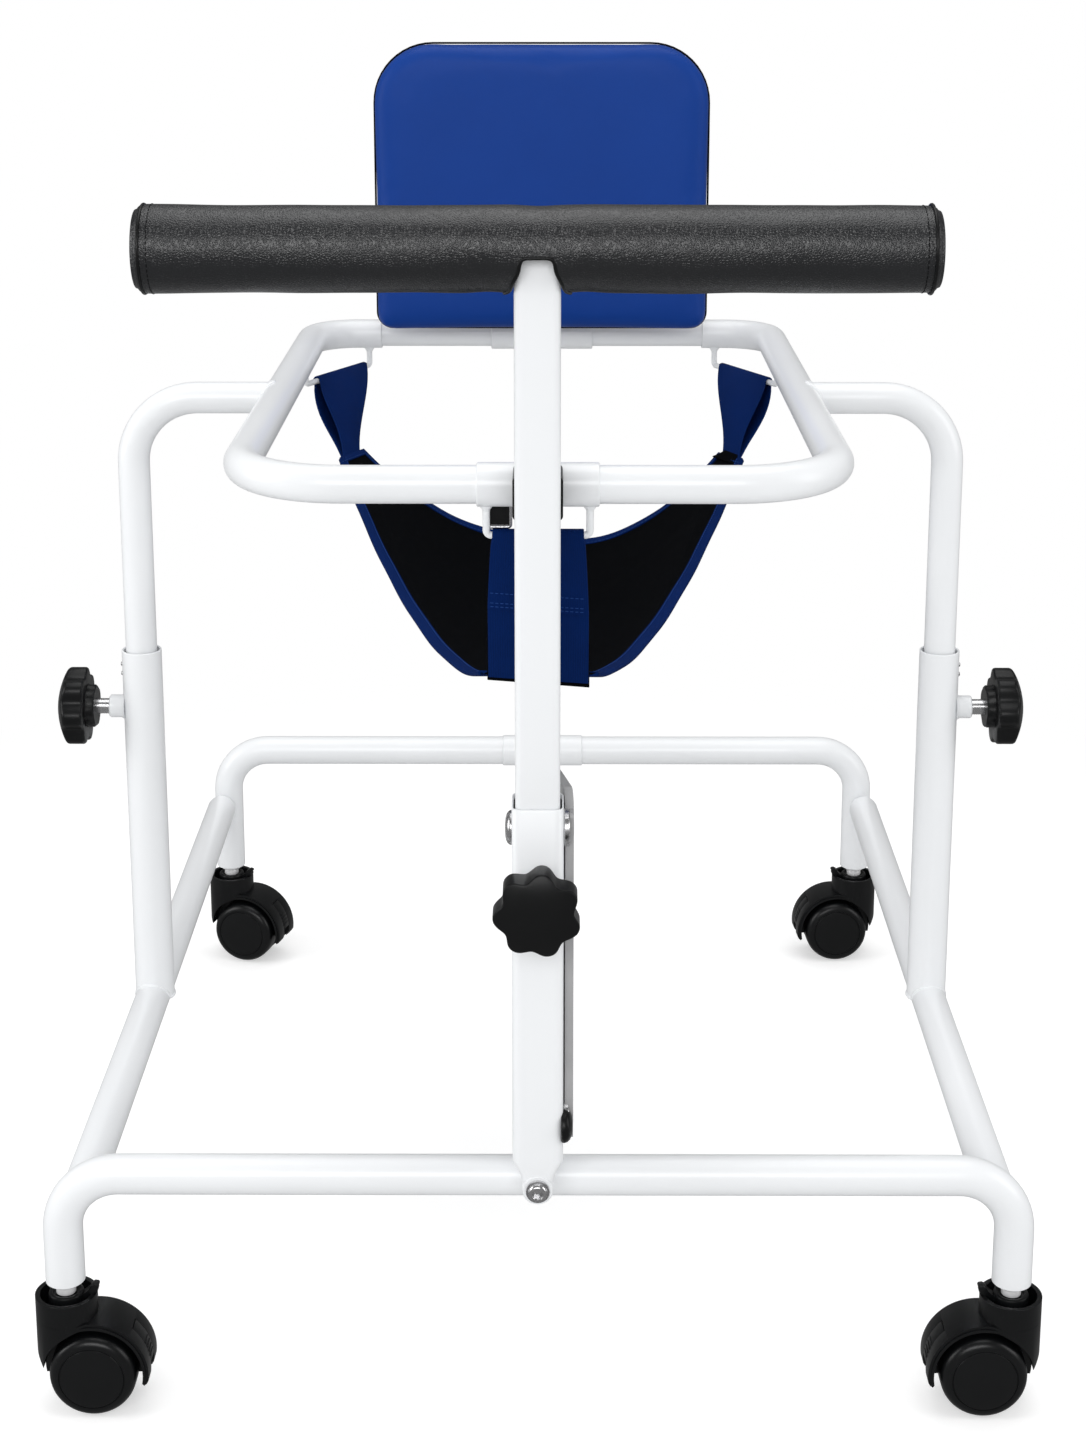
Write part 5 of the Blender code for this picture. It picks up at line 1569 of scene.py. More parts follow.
    def plate_and_screws(self) -> None:
        """The plate on the post, with a screw in each corner."""
        width, height, depth = self.plate
        z, steel = PLAN.ring_z + self.plate_above_ring + height / 2, self.finishes.steel
        outline = rounded_box(width / 2, height / 2, 0.008, 8)
        plate = Form().prism(outline, self.plate_y, self.plate_y + depth, Plane.XZ, (0, 0, z))
        soften(plate.done("backrest_plate", self.finishes.white, Body.UPPER), 0.0006)
        head = [(0.0062, 0.0), (0.0062, 0.0006), (0.0056, 0.0018), (0.0034, 0.0030), (0.0010, 0.0033)]
        for i, (sx, sz) in enumerate(((-1, -1), (1, -1), (1, 1), (-1, 1))):
            at = (sx * (width / 2 - 0.012), self.plate_y + depth - 0.0002, z + sz * (height / 2 - 0.014))
            screw = Form().turn(head, at, (0, 1, 0), 24).done(f"back_screw_{i}", steel)
            carve(screw, Form().prism(circle(0.0016, 6), 0.0020, 0.005, Plane.XZ, at).done("slot", steel))
            fit(smooth(screw, 30), steel, Body.UPPER)


# The T-bar


@dataclass
class TBar:
    """The inner post and the padded roll."""

    finishes: Wardrobe
    post_corner_r: float = 0.0050
    post_end_z: float = 0.270
    bar_z: float = 0.835
    roll_r: float = 0.028
    roll_length: float = 0.503
    notch_top: float = 0.020
    notch_mouth: float = 0.037
    notch_below: float = 0.003
    end_crown: float = 0.0035
    seam_inset: float = 0.0095

    def build(self) -> None:
        """Builds the post and the roll."""
        self.post()
        self.roll()
        self.end_seams()
        self.notch_edges()
        frame["nodes"]["handle_tube"].data.materials[0] = self.finishes.white.material

    def post(self) -> None:
        """The square inner post."""
        half, top = PLAN.post_size / 2, self.bar_z - self.notch_below - 0.0003
        square = rounded_box(half, half, self.post_corner_r, 8)
        form = Form().prism(square, self.post_end_z, top, centre=(0, PLAN.post_y, 0))
        form.done("post_tube", self.finishes.white, Body.T_BAR, "post_tube", 50)

    def radius_at(self, x: float, turn: float) -> float:
        """The roll's radius, with its gentle hollows.

        Args:
            x: The place along the roll.
            turn: The angle round it, 0 towards +Y and a quarter turn at the top.

        Returns:
            The radius there.
        """
        top = max(math.sin(turn), 0.0)
        crease = 0.0009 * top ** 3 * math.exp(-(x / 0.012) ** 2)
        sag = 0.0005 * math.sin(x * 21.0 + 0.7) + 0.0003 * math.sin(x * 57.0 + turn * 2.0)
        pull = 0.0011 * max(-math.sin(turn), 0.0) * math.exp(-((abs(x) - 0.030) / 0.012) ** 2)
        lumps = 0.0004 * noise(Vector((x * 26.0, math.cos(turn) * 1.4, math.sin(turn) * 1.4)))
        return self.roll_r - 0.0004 - crease - pull + sag * 0.5 + lumps

    def hoop(self, x: float, sides: int, share: float = 1.0, lift: float = 0.0) -> Ring:
        """A ring of points on the roll.

        Args:
            x: The place along the roll.
            sides: The points.
            share: How large it is beside the roll's own radius.
            lift: How far the points stand off.

        Returns:
            The points.
        """
        points = []
        for k in range(sides):
            turn = 2 * math.pi * k / sides
            r = share * self.radius_at(x, turn) + lift
            points.append(Vector((x, PLAN.post_y + r * math.cos(turn), self.bar_z + r * math.sin(turn))))
        return points

    def roll(self) -> None:
        """The vinyl roll, with the notch for the post."""
        half, inset, count, charcoal = self.roll_length / 2, self.seam_inset, 120, self.finishes.charcoal
        ends = []
        for i in range(7):
            rise = math.sin(math.pi / 2 * i / 6)
            ends.append((-half + self.end_crown * (1 - rise) * 0.6, 0.05 + 0.83 * i / 6))
        for i in range(5):
            turn = math.pi / 2 * i / 4
            ends.append((-half + 0.0020 + 0.0045 * (1 - math.cos(turn)), 0.91 + 0.088 * math.sin(turn)))
        span = 2 * half - 2 * inset
        stations = ends + [(-half + inset + span * i / count, 1.0) for i in range(count + 1)]
        stations += [(-x, share) for x, share in reversed(ends)]
        form = Form().loft([self.hoop(x, 96, share) for x, share in stations])
        obj = form.done("roll_cover", charcoal, angle=70)
        top, mouth, axis = self.notch_top / 2, self.notch_mouth / 2, (0, PLAN.post_y, 0)
        z_top, z_low = self.bar_z - self.notch_below, self.bar_z - self.roll_r - 0.004
        left = [(-top, z_top), (-top - 0.0012, z_top - 0.008), (-top - 0.0045, z_top - 0.016),
                (-mouth, z_top - 0.0235), (-mouth - 0.003, z_low)]
        radii = [0.0028, 0.002, 0.006, 0.004, 0.0]
        outline = rounded_corners(left + [(-u, v) for u, v in reversed(left)], radii + radii[::-1], 5)
        deep = self.roll_r * 1.2
        carve(obj, Form().prism(outline, -deep, deep, Plane.XZ, axis).done("notch", charcoal))
        gap = PLAN.post_size / 2 + 0.0003
        square = rounded_box(gap, gap, 0.004, 4)
        carve(obj, Form().prism(square, z_low, z_top, centre=axis).done("seat", charcoal))
        fit(smooth(obj, 50), charcoal, Body.T_BAR, "roll_pad")

    def end_seams(self) -> None:
        """The piping and the stitches near each end of the roll."""
        hoop = circle(self.roll_r * 0.985 + 0.0002, 72, (PLAN.post_y, self.bar_z))
        for side in Side:
            x = side.value * (self.roll_length / 2 - 0.0052)
            ring = Form().sweep([(x, u, v) for u, v in hoop], 0.0011, 10, True)
            ring.done("roll_piping_" + side.word, self.finishes.roll_piping, Body.T_BAR)
            row = self.hoop(side.value * (self.roll_length / 2 - 0.0105), 72, lift=0.0001)
            stitches("roll_stitches_" + side.word, row + [row[0]], self.finishes.roll_thread, Body.T_BAR,
                     0.0036, 0.00032)

    def notch_edges(self) -> None:
        """The bound edge round the notch, front and back."""
        top, mouth = self.notch_top / 2, self.notch_mouth / 2
        z = self.bar_z - self.notch_below
        path = [(-mouth - 0.0022, z - 0.0242), (-mouth + 0.001, z - 0.0215), (-top - 0.0050, z - 0.0155),
                (-top - 0.0018, z - 0.008), (-top - 0.0006, z - 0.0022), (-top + 0.0022, z + 0.0006),
                (0.0, z + 0.0009)]
        path += [(-u, v) for u, v in reversed(path[:-1])]
        for tag, direction in (("front", -1), ("back", 1)):
            line = []
            for u, v in path:
                reach = math.sqrt(max((self.roll_r - 0.0006) ** 2 - (v - self.bar_z) ** 2, 0.00001))
                line.append(Vector((u, PLAN.post_y + direction * reach, v)))
            edge = Form().sweep(smooth_line(line, 6), 0.0013, 10)
            edge.done("notch_edge_" + tag, self.finishes.roll_piping, Body.T_BAR)


# Clamps


@dataclass
class ClampKnob:
    """A seven-lobed star knob on its threaded stud."""

    finishes: Wardrobe
    word: str
    seat: Vector
    outward: Vector
    radius: float = 0.0289
    lobes: int = 7
    lobe_depth: float = 0.0050
    lobe_power: float = 1.15
    hub_r: float = 0.0175
    hub_h: float = 0.007
    body_h: float = 0.023
    dome_h: float = 0.0052
    crown: float = 2.6
    under_r: float = 0.0022
    rim_r: float = 0.0010
    turned_deg: float = 0.0
    shown: float = 0.012
    stud_r: float = 0.0063
    pitch: float = 0.0015

    def ring(self, radius: float, depth: float, height: float, share: float = 0.0) -> Ring:
        """One ring of the knob.

        Args:
            radius: The lobes' radius.
            depth: How deep the hollows are.
            height: How far it stands off the seat.
            share: On the dome, its size beside the rim's. The dome's crest is then added to its height.

        Returns:
            The points.
        """
        across, count, points = Vector((-self.outward.y, self.outward.x, 0)), self.lobes * 24, []
        for i in range(count):
            turn = 2 * math.pi * i / count
            wave = (1 - math.cos(self.lobes * (turn - math.radians(self.turned_deg)))) / 2
            r = (radius - depth * wave ** self.lobe_power) * (share or 1.0)
            crest = self.dome_h * (1 - (r / self.radius) ** self.crown) if share else 0.0
            points.append(self.seat + self.outward * (height + crest) + across * (r * math.sin(turn))
                          + Vector((0, 0, r * math.cos(turn))))
        return points

    def build(self) -> None:
        """Builds the knob and its stud."""
        start, low, hub = self.shown, self.shown + self.hub_h, self.hub_r
        rings = [self.ring(*values) for values in (
            (0.0057, 0.0, start + 0.001), (0.0060, 0.0, start), (hub - 0.0012, 0.0008, start),
            (hub, 0.0012, start + 0.0012), (hub, 0.0012, low - 0.001), (hub + 0.0008, 0.002, low))]
        for i in range(4):
            turn = math.pi / 2 * i / 3
            rings.append(self.ring(self.radius - self.under_r * (1 - math.sin(turn)), self.lobe_depth * 0.98,
                                   low + self.under_r * (1 - math.cos(turn))))
        rim = low + self.body_h - self.dome_h
        for i in range(6):
            turn = math.pi / 2 * i / 5
            rings.append(self.ring(self.radius - self.rim_r * (1 - math.cos(turn)), self.lobe_depth,
                                   rim - self.rim_r * (1 - math.sin(turn)), 1.0))
        for share in (0.97, 0.92, 0.84, 0.73, 0.60, 0.45, 0.28, 0.12, 0.03):
            rings.append(self.ring(self.radius - self.rim_r, self.lobe_depth, rim, share))
        body = "clamp_knob_" + self.word
        form = Form().loft(rings)
        form.done("star_knob_" + self.word, self.finishes.black, body, "knob_" + self.word, 44)
        self.stud(body)

    def stud(self, body: str) -> None:
        """The threaded stud between the boss and the knob.

        Args:
            body: The knob's body.
        """
        r, height = self.stud_r, -0.0095
        profile = [(r - 0.0012, -0.0110), (r - 0.0008, -0.0100)]
        while height < self.shown + 0.0005:
            profile += [(r - 0.0002, height), (r, height + self.pitch * 0.5)]
            height += self.pitch
        profile += [(r - 0.0007, height), (r - 0.001, self.shown + 0.009)]
        form = Form().turn(profile, self.seat, self.outward, 28)
        form.done("stud_" + self.word, self.finishes.steel, body, "knob_stud_" + self.word)


# Casters


@dataclass
class Caster:
    """A twin-wheel caster. The first one's meshes are reused by the others."""

    finishes: Wardrobe
    word: str
    x: float
    y: float
    turn_deg: float
    wheel_r: float = 0.031
    wheel_width: float = 0.0200
    web: float = 0.008
    trail: float = 0.020
    hood_r: float = 0.0395
    arch_r: float = 0.0355
    hood_width: float = 0.036
    cup_r: float = 0.022
    cup_bore_r: float = 0.0186
    rim_z: float = 0.0855
    floor_z: float = 0.0680
    tail_deg: float = -12.0
    crest_deg: float = 104.0
    lip_deg: float = 124.0
    pedal_width: float = 0.012
    pedal_depth: float = 0.0028
    pedal_top_deg: float = 46.0
    pedal_end_deg: float = 4.0

    def build(self, patterns: dict[str, bpy.types.Mesh]) -> None:
        """Builds the caster from shared meshes.

        Args:
            patterns: The shared meshes by part, filled by the first caster.
        """
        if not patterns:
            for make in (self.hood, self.wheel, self.axle, self.pedal, self.clip):
                patterns[make.__name__] = make().data
            for obj in [o for o in bpy.data.objects if o.name.startswith("pattern_")]:
                bpy.data.objects.remove(obj, do_unlink=True)
        word, swivel = self.word, "swivel_" + self.word
        turn = Matrix.Rotation(math.radians(self.turn_deg), 4, 'Z')
        turned = Matrix.Translation((self.x, self.y, 0)) @ turn
        centred = turned @ Matrix.Translation((self.trail, 0, self.wheel_r))
        flipped = centred @ Matrix.Rotation(math.pi, 4, 'Z')
        for part, name, place, body, node in (
                ("hood", f"hood_{word}_skin", turned, swivel, "caster_hood_" + word),
                ("axle", f"axle_{word}_skin", turned, swivel, "caster_axle_" + word),
                ("pedal", f"pedal_{word}_skin", turned, "pedal_" + word, "brake_pedal_" + word),
                ("wheel", f"wheel_b_{word}_skin", centred, "wheel_b_" + word, "wheel_b_" + word),
                ("wheel", f"wheel_a_{word}_skin", flipped, "wheel_a_" + word, "wheel_a_" + word),
                ("clip", "stem_clip_" + word, turned, swivel, "")):
            obj = new_object(name, patterns[part])
            obj.matrix_world = place
            fit(obj, self.finishes.steel if part == "axle" else self.finishes.nylon, body, node)
        self.stem()

    def arc(self, radius: float, start: float, end: float, steps: int) -> list[Point]:
        """An arc round the axle in the caster's side view, from a start to an end angle in degrees."""
        angles = [math.radians(start + (end - start) * i / steps) for i in range(steps + 1)]
        return [(self.trail + radius * math.cos(a), self.wheel_r + radius * math.sin(a)) for a in angles]

    def band(self, outer: float, inner: float, start: float, end: float, steps: int) -> list[Point]:
        """The outline between an outer and an inner arc round the axle, from a start to an end angle."""
        return self.arc(outer, start, end, steps) + self.arc(inner, end, start, steps)

    def slab(self, outline: Sequence[Point], low: float, high: float, name: str) -> bpy.types.Object:
        """A solid of a side view's outline, from a low to a high place across the caster."""
        return Form().prism(outline, low, high, Plane.XZ).done("pattern_" + name, self.finishes.nylon)

    def upright(self, radius: float, low: float, high: float, name: str) -> bpy.types.Object:
        """A cylinder about the stem from a low to a high end, for joining and cutting."""
        form = Form().turn([(radius, low), (radius, high)], (0, 0, 0), (0, 0, 1), 64)
        return form.done("pattern_" + name, self.finishes.nylon)

    def hood(self) -> bpy.types.Object:
        """The swivelling hood.

        Returns:
            The hood.
        """
        half, web, axle_z = self.hood_width / 2, self.web / 2, self.wheel_r
        tail, cup, front = self.tail_deg, self.cup_r, -self.cup_r + 0.0006
        outline = self.arc(self.hood_r - 0.0022, tail - 2.4, tail - 1.6, 1)
        outline += self.arc(self.hood_r - 0.0008, tail + 0.6, tail + 0.8, 1)
        outline += self.arc(self.hood_r, tail + 4.0, self.crest_deg, 46)
        outline += [(front, outline[-1][1]), (front, axle_z + 0.0135), (front + 0.0007, axle_z + 0.0112),
                    (front + 0.0056, axle_z + 0.0040), (front + 0.0066, axle_z + 0.0034)]
        outline += self.arc(self.arch_r - 0.0006, 174.5, tail, 60)
        body = self.slab(outline, -cup, cup, "hood")
        turns = [math.pi * i / 32 for i in range(33)]
        plan = [(-cup * math.sin(turn), (cup + 0.0002) * math.cos(turn)) for turn in turns]
        plan += [(0.004, -cup + 0.0004), (0.016, -half), (0.09, -half), (0.09, half), (0.016, half),
                 (0.004, cup - 0.0004)]
        carve(body, Form().prism(plan, 0.0, 0.12).done("pattern_plan", self.finishes.nylon), 'INTERSECT')
        lip = self.band(self.arch_r + 0.0020, self.arch_r - 0.0006, tail + 1.0, self.lip_deg, 60)
        carve(body, self.slab(lip, -half - 0.0014, half + 0.0014, "lip"), 'UNION')
        carve(body, self.upright(cup, axle_z + self.arch_r * 0.60, self.rim_z, "cup"), 'UNION')
        plate = self.slab(circle(self.arch_r + 0.001, 72, (self.trail, axle_z)), -web, web, "web")
        below = [(-0.06, -0.06), (0.09, -0.06), (0.09, axle_z - 0.007), (-0.06, axle_z - 0.007)]
        carve(plate, self.slab(below, -half, half, "below"))
        carve(body, plate, 'UNION')
        carve(body, self.upright(self.cup_bore_r, self.floor_z, 0.12, "bore"))
        arch = circle(self.arch_r, 72, (self.trail, axle_z))
        for sign in (-1, 1):
            carve(body, self.slab(arch, sign * web, sign * 0.06, "cavity"))
        slot = self.band(self.hood_r + 0.004, self.hood_r - self.pedal_depth - 0.0003, tail - 20.0,
                         self.pedal_top_deg + 1.0, 30)
        gap = self.pedal_width / 2 + 0.0003
        carve(body, self.slab(slot, -gap, gap, "slot"))
        return soften(body, 0.0009, angle=34, shade=34)

    def wheel(self) -> bpy.types.Object:
        """One wheel, its outer face towards +Y, about its own axle.

        Returns:
            The wheel.
        """
        r, inner, width = self.wheel_r, self.web / 2 + 0.0003, self.wheel_width
        outer = inner + width
        profile = [(0.0034, inner), (r - 0.0022, inner), (r - 0.0006, inner + 0.0008),
                   (r - 0.00002, inner + 0.0024), (r, inner + width * 0.35), (r - 0.0001, outer - 0.0080)]
        for i in range(1, 10):
            turn = math.pi / 2 * i / 9
            radius = r - 0.0001 - 0.0070 * (1 - math.cos(turn))
            profile.append((radius, outer - 0.0080 + 0.0077 * math.sin(turn)))
        profile += [(r - 0.0074, outer - 0.0004), (r - 0.0077, outer - 0.0009), (r - 0.0081, outer - 0.0009),
                    (r - 0.0085, outer - 0.0003), (r - 0.0096, outer), (r * 0.35, outer + 0.0001),
                    (r * 0.05, outer + 0.0001)]
        form = Form().turn(profile, (0, 0, 0), (0, 1, 0), 96)
        return form.done("pattern_wheel", self.finishes.nylon, angle=40)

    def axle(self) -> bpy.types.Object:
        """The axle between the wheels.

        Returns:
            The axle.
        """
        reach = self.web / 2 + self.wheel_width * 0.6
        form = Form().turn([(0.003, -reach), (0.003, reach)], (self.trail, 0, self.wheel_r), (0, 1, 0), 24)
        return form.done("pattern_axle", self.finishes.steel)

    def pedal(self) -> bpy.types.Object:
        """The brake pedal, with a few grip ridges.

        Returns:
            The pedal.
        """
        half, r = self.pedal_width / 2, self.hood_r
        outline = self.band(r, r - self.pedal_depth, self.pedal_end_deg, self.pedal_top_deg, 30)
        body = self.slab(outline, -half, half, "pedal")
        for i in range(4):
            middle = self.pedal_end_deg + 6.0 + 5.0 * i
            ridge = self.band(r + 0.0005, r - 0.001, middle - 1.1, middle + 1.1, 3)
            carve(body, self.slab(ridge, -half + 0.0012, half - 0.0012, "ridge"), 'UNION')
        return soften(body, 0.0003, 2, shade=34)

    def clip(self) -> bpy.types.Object:
        """The grip ring round the stem inside the cup, with its notched lever over the rim.

        Returns:
            The clip.
        """
        low, top = self.floor_z, self.rim_z
        profile = [(0.0061, low), (0.0126, low), (0.0126, top - 0.0004), (0.0122, top + 0.0010),
                   (0.0108, top + 0.0016), (0.0096, top + 0.0014), (0.0090, top + 0.0002),
                   (0.0076, top - 0.0004), (0.0062, top - 0.0004)]
        form = Form().turn(profile, (0, 0, 0), (0, 0, 1), 48)
        ring = form.done("pattern_clip", self.finishes.nylon, angle=40)
        side = [(0.0100, -0.0060), (0.0110, -0.0010), (0.0146, 0.0016), (0.0166, 0.0034), (0.0180, 0.0060),
                (0.0204, 0.0074), (0.0230, 0.0070), (0.0238, 0.0054), (0.0224, 0.0042), (0.0230, 0.0028),
                (0.0228, 0.0014), (0.0206, 0.0006), (0.0192, -0.0014), (0.0160, -0.0040), (0.0140, -0.0060)]
        outline = rounded_corners([(u, top + v) for u, v in side], [0.0007] * len(side), 3)
        carve(ring, self.slab(outline, -0.0036, 0.0036, "lever"), 'UNION')
        return soften(ring, 0.0004, 2, shade=36)

    def stem(self) -> None:
        """The steel stem with its flange, up into the leg."""
        steps = ((0.0048, -0.0300), (0.0055, -0.0290), (0.0055, -0.0099), (0.0066, -0.0097),
                 (0.0070, -0.0092), (0.0070, -0.0046), (0.0066, -0.0040), (0.0086, -0.0036),
                 (0.0092, -0.0030), (0.0092, -0.0006), (0.0088, -0.0002), (0.0119, 0.0006), (0.0119, 0.0240))
        profile = [(r, PLAN.leg_end_z + rise) for r, rise in steps]
        form = Form().turn(profile, (self.x, self.y, 0), (0, 0, 1), 48)
        form.done("stem_" + self.word, self.finishes.zinc, Body.BASE, "caster_stem_" + self.word)


# The sling


@dataclass
class Sling:
    """The mesh seat with its bound edges, and the three straps that hang it."""

    finishes: Wardrobe
    front_behind: float = 0.0534
    rear_behind: float = 0.450
    corner_reach: float = 0.054
    corner_cut: float = 0.035
    corner_start: float = 0.9
    front_half: float = 0.040
    rear_half: float = 0.1725
    front_edge_z: float = 0.5295
    low_z: float = 0.490
    rear_edge_z: float = 0.522
    corner_z: float = 0.587
    leg_dip: float = 0.200
    leg_rise: float = 1.45
    right_sag: float = 0.010
    cloth: float = 0.0016
    binding: float = 0.0085
    binding_thickness: float = 0.0034
    strap_thickness: float = 0.0016
    front_strap_width: float = 0.0615
    front_hem_width: float = 0.0690
    front_end_z: float = 0.5255
    front_set_back: float = 0.022
    hem_z: float = 0.5785
    rear_top_width: float = 0.080
    rear_end_width: float = 0.027
    rear_end: tuple[float, float, float] = (0.1647, 0.4867, 0.5874)
    left_shift: float = 0.0042

    @property
    def wrap_r(self) -> float:
        """The radius of a strap's middle where it turns over its wire."""
        return PLAN.wire_r + self.strap_thickness / 2 + 0.0003

    def point(self, share: float, across: float) -> Vector:
        """A point of the seat's middle surface.

        Args:
            share: 0 at the front edge and 1 at the rear edge.
            across: -1 at the left leg edge and 1 at the right one.

        Returns:
            The point.
        """
        half = self.front_half + (self.rear_half - self.front_half) * share
        dip = 4 * share * (1 - share)
        line = self.front_edge_z + (self.rear_edge_z - self.front_edge_z) * share
        centre = line + (self.low_z - (self.front_edge_z + self.rear_edge_z) / 2) * dip
        lift = self.corner_z - self.front_edge_z + self.leg_dip
        edge = self.front_edge_z - self.leg_dip * share + lift * share ** self.leg_rise
        inside = min(abs(across) / self.corner_start, 1.0)
        beyond = max(abs(across) - self.corner_start, 0.0) / (1 - self.corner_start)
        reach = self.corner_reach * (inside * share) ** 2 - self.corner_cut * share * share * beyond
        y = PLAN.y(self.front_behind) + (self.rear_behind - self.front_behind) * share + reach
        z = centre + (edge - centre) * inside * inside
        z -= self.right_sag * share ** 3 * math.sin(math.pi * max(across, 0.0))
        return Vector((across * half, y, z + self.fold(share, across)))

    def fold(self, share: float, across: float) -> float:
        """The height of the seat's soft folds.

        Args:
            share: The place along the seat.
            across: The place across it.

        Returns:
            A height of at most 2 mm.
        """
        inside = (1 - across * across) * 4 * share * (1 - share)
        crease = -0.0016 * math.exp(-((share - 0.86 + 0.10 * (1 - abs(across))) / 0.035) ** 2)
        ripple = 0.0011 * math.sin(9.0 * across + 3.0 * share) * inside
        lumps = 0.0012 * noise(Vector((across * 2.3, share * 3.1, 0.4))) * inside
        return crease * (1 - across ** 4) + ripple + lumps

    def normal(self, share: float, across: float) -> Vector:
        """The seat's upward normal at a place.

        Args:
            share: The place along the seat.
            across: The place across it.

        Returns:
            The normal.
        """
        step = 0.004
        along = self.point(min(share + step, 1.0), across) - self.point(max(share - step, 0.0), across)
        over = self.point(share, min(across + step, 1.0)) - self.point(share, max(across - step, -1.0))
        return over.cross(along).normalized()

    def build(self) -> None:
        """Builds the sling."""
        seat = self.seat()
        self.declare(seat, self.bindings())
        self.front_strap()
        for side in Side:
            self.rear_strap(side)

    def seat(self) -> bpy.types.Object:
        """The mesh seat.

        Returns:
            The seat.
        """
        rows, columns, rings = 60, 64, []
        for i in range(rows + 1):
            top, bottom = [], []
            for j in range(columns + 1):
                across = -1 + 2 * j / columns
                place, lift = self.point(i / rows, across), self.normal(i / rows, across) * (self.cloth / 2)
                top.append(place + lift)
                bottom.append(place - lift)
            rings.append(top + bottom[::-1])
        return Form().loft(rings).done("sling_mesh", self.finishes.mesh, angle=60)

    def bindings(self) -> list[bpy.types.Object]:
        """The navy tape round the seat's edges, with its stitches.

        Returns:
            The tapes and their stitches.
        """
        runs = {"left": [(i / 60, -1.0) for i in range(61)], "right": [(i / 60, 1.0) for i in range(61)],
                "rear": [(1.0, -1 + 2 * i / 60) for i in range(61)]}
        half, lap = self.binding_thickness / 2, -0.0016
        corners = [(self.binding, -half), (self.binding, half), (lap, half), (lap, -half)]
        outline = rounded_corners(corners, [0.0004, 0.0004, 0.0014, 0.0014], 4)
        made = []
        for word, places in runs.items():
            rings, row = [], []
            for share, across in places:
                place, normal = self.point(share, across), self.normal(share, across)
                inner = self.point(0.97, across) if word == "rear" else self.point(share, across * 0.97)
                inward = (inner - place).normalized()
                inward = (inward - normal * inward.dot(normal)).normalized()
                wave = 0.0004 * math.sin(share * 31.0 + across * 17.0)
                rings.append([place + inward * u + normal * (v + wave) for u, v in outline])
                row.append(place + inward * (self.binding - 0.0016) + normal * (half + wave + 0.0001))
            tape = Form().loft(rings)
            made.append(tape.done("sling_binding_" + word, self.finishes.navy, Body.UPPER, angle=60))
            made.append(stitches("binding_stitches_" + word, row, self.finishes.thread, Body.UPPER, 0.0034,
                                 0.00025))
        return made

    def declare(self, seat: bpy.types.Object, edges: list[bpy.types.Object]) -> None:
        """Fits the seat to the upper frame and logs its flat size and area.

        Args:
            seat: The mesh seat.
            edges: Its bindings. Not used.
        """
        grid = [[self.point(i / 40, -1 + j / 20) for j in range(41)] for i in range(41)]
        length, width, area = line_length([row[20] for row in grid]), line_length(grid[-1]), 0.0
        for low, high in zip(grid, grid[1:]):
            for a, b, c, d in zip(low, low[1:], high[1:], high):
                area += (b - a).cross(c - a).length / 2 + (c - a).cross(d - a).length / 2
        fit(seat, self.finishes.mesh, Body.UPPER, "sling_seat")
        LOG.info("sling is %.3f by %.3f m flat, %.4f square metres", width, length, area)

    def strip(self, line: Sequence[Vector], across: Vector, widths: Sequence[float], thickness: float,
              slants: Sequence[Vector] = ()) -> Form:
        """A flat strap along a line.

        Args:
            line: The strap's centre line.
            across: The direction of its width.
            widths: Its width at each point.
            thickness: Its thickness.
            slants: How far each point's cross line leans, in metres per metre of width.

        Returns:
            The strap's form.
        """
        rings = []
        for i, (place, width) in enumerate(zip(line, widths)):
            normal = across.cross(line[min(i + 1, len(line) - 1)] - line[max(i - 1, 0)]).normalized()
            side = across + slants[i] if slants else across
            outline = rounded_box(width / 2, thickness / 2, thickness * 0.45, 3)
            rings.append([place + side * u + normal * v for u, v in outline])
        return Form().loft(rings)

    def front_strap(self) -> None:
        """The front strap: a loop over the wire, sewn down at a hem, then a single run under the seat."""
        wire = Vector((0.0, PLAN.ring_front_y, PLAN.ring_z - PLAN.front_loop_drop))
        end = Vector((0.0, PLAN.ring_front_y + self.front_set_back, self.front_end_z))
        down, across, width = (end - wire).normalized(), Vector((1, 0, 0)), self.front_strap_width
        forward = across.cross(down).normalized()
        if forward.y > 0:
            forward = -forward
        drop, r, thick = (end - wire).length, self.wrap_r, self.strap_thickness
        hem, layer = (wire.z - self.hem_z) / -down.z, thick * 0.52
        lap = layer + thick * 0.55
        line = [wire + down * hem + forward * lap]
        for i in range(1, 8):
            share = i / 8
            line.append(wire + down * (hem * (1 - share)) + forward * (lap + (r - lap) * share ** 3))
        for i in range(9):
            turn = math.pi * i / 8
            line.append(wire + forward * (r * math.cos(turn)) - down * (r * math.sin(turn)))
        for i in range(1, 13):
            share = i / 12
            back = -r + (r - layer * 0.4) * min(share * 2.2, 1.0) ** 0.6
            line.append(wire + down * (drop * share) + forward * back)
        low = [min(max((wire - place).dot(-down) / hem, 0.0), 1.0) for place in line]
        widths = [width + (self.front_hem_width - width) * share ** 0.6 for share in low]
        strap = self.strip(line, across, widths, thick, [down * (0.075 * share) for share in low])
        obj = strap.done("front_strap", self.finishes.navy, Body.UPPER, "sling_strap_front", 60)
        tuck = [end - down * 0.030 - forward * 0.0024, end - down * 0.012 - forward * 0.0026,
                end - forward * 0.0018, end + down * 0.0026 - forward * 0.0006,
                end + down * 0.0034 + Vector((0, 0.006, 0.001))]
        fold = smooth_line(tuck, 5)
        lining = self.strip(fold, across, [self.front_hem_width + 0.0015] * len(fold), thick * 0.7,
                            [down * 0.085] * len(fold))
        extras = [lining.done("front_strap_lining", self.finishes.mesh, Body.UPPER, angle=60)]
        face, reach = layer + thick * 1.12, self.front_hem_width / 2 - 0.002
        for tag, offset in (("hem_low", 0.0022), ("hem_mid", 0.0050), ("hem_high", 0.0125)):
            middle, slope = wire + down * (hem - offset) + forward * face, across + down * 0.072
            row = [middle + slope * (reach * (i / 10 - 1)) for i in range(21)]
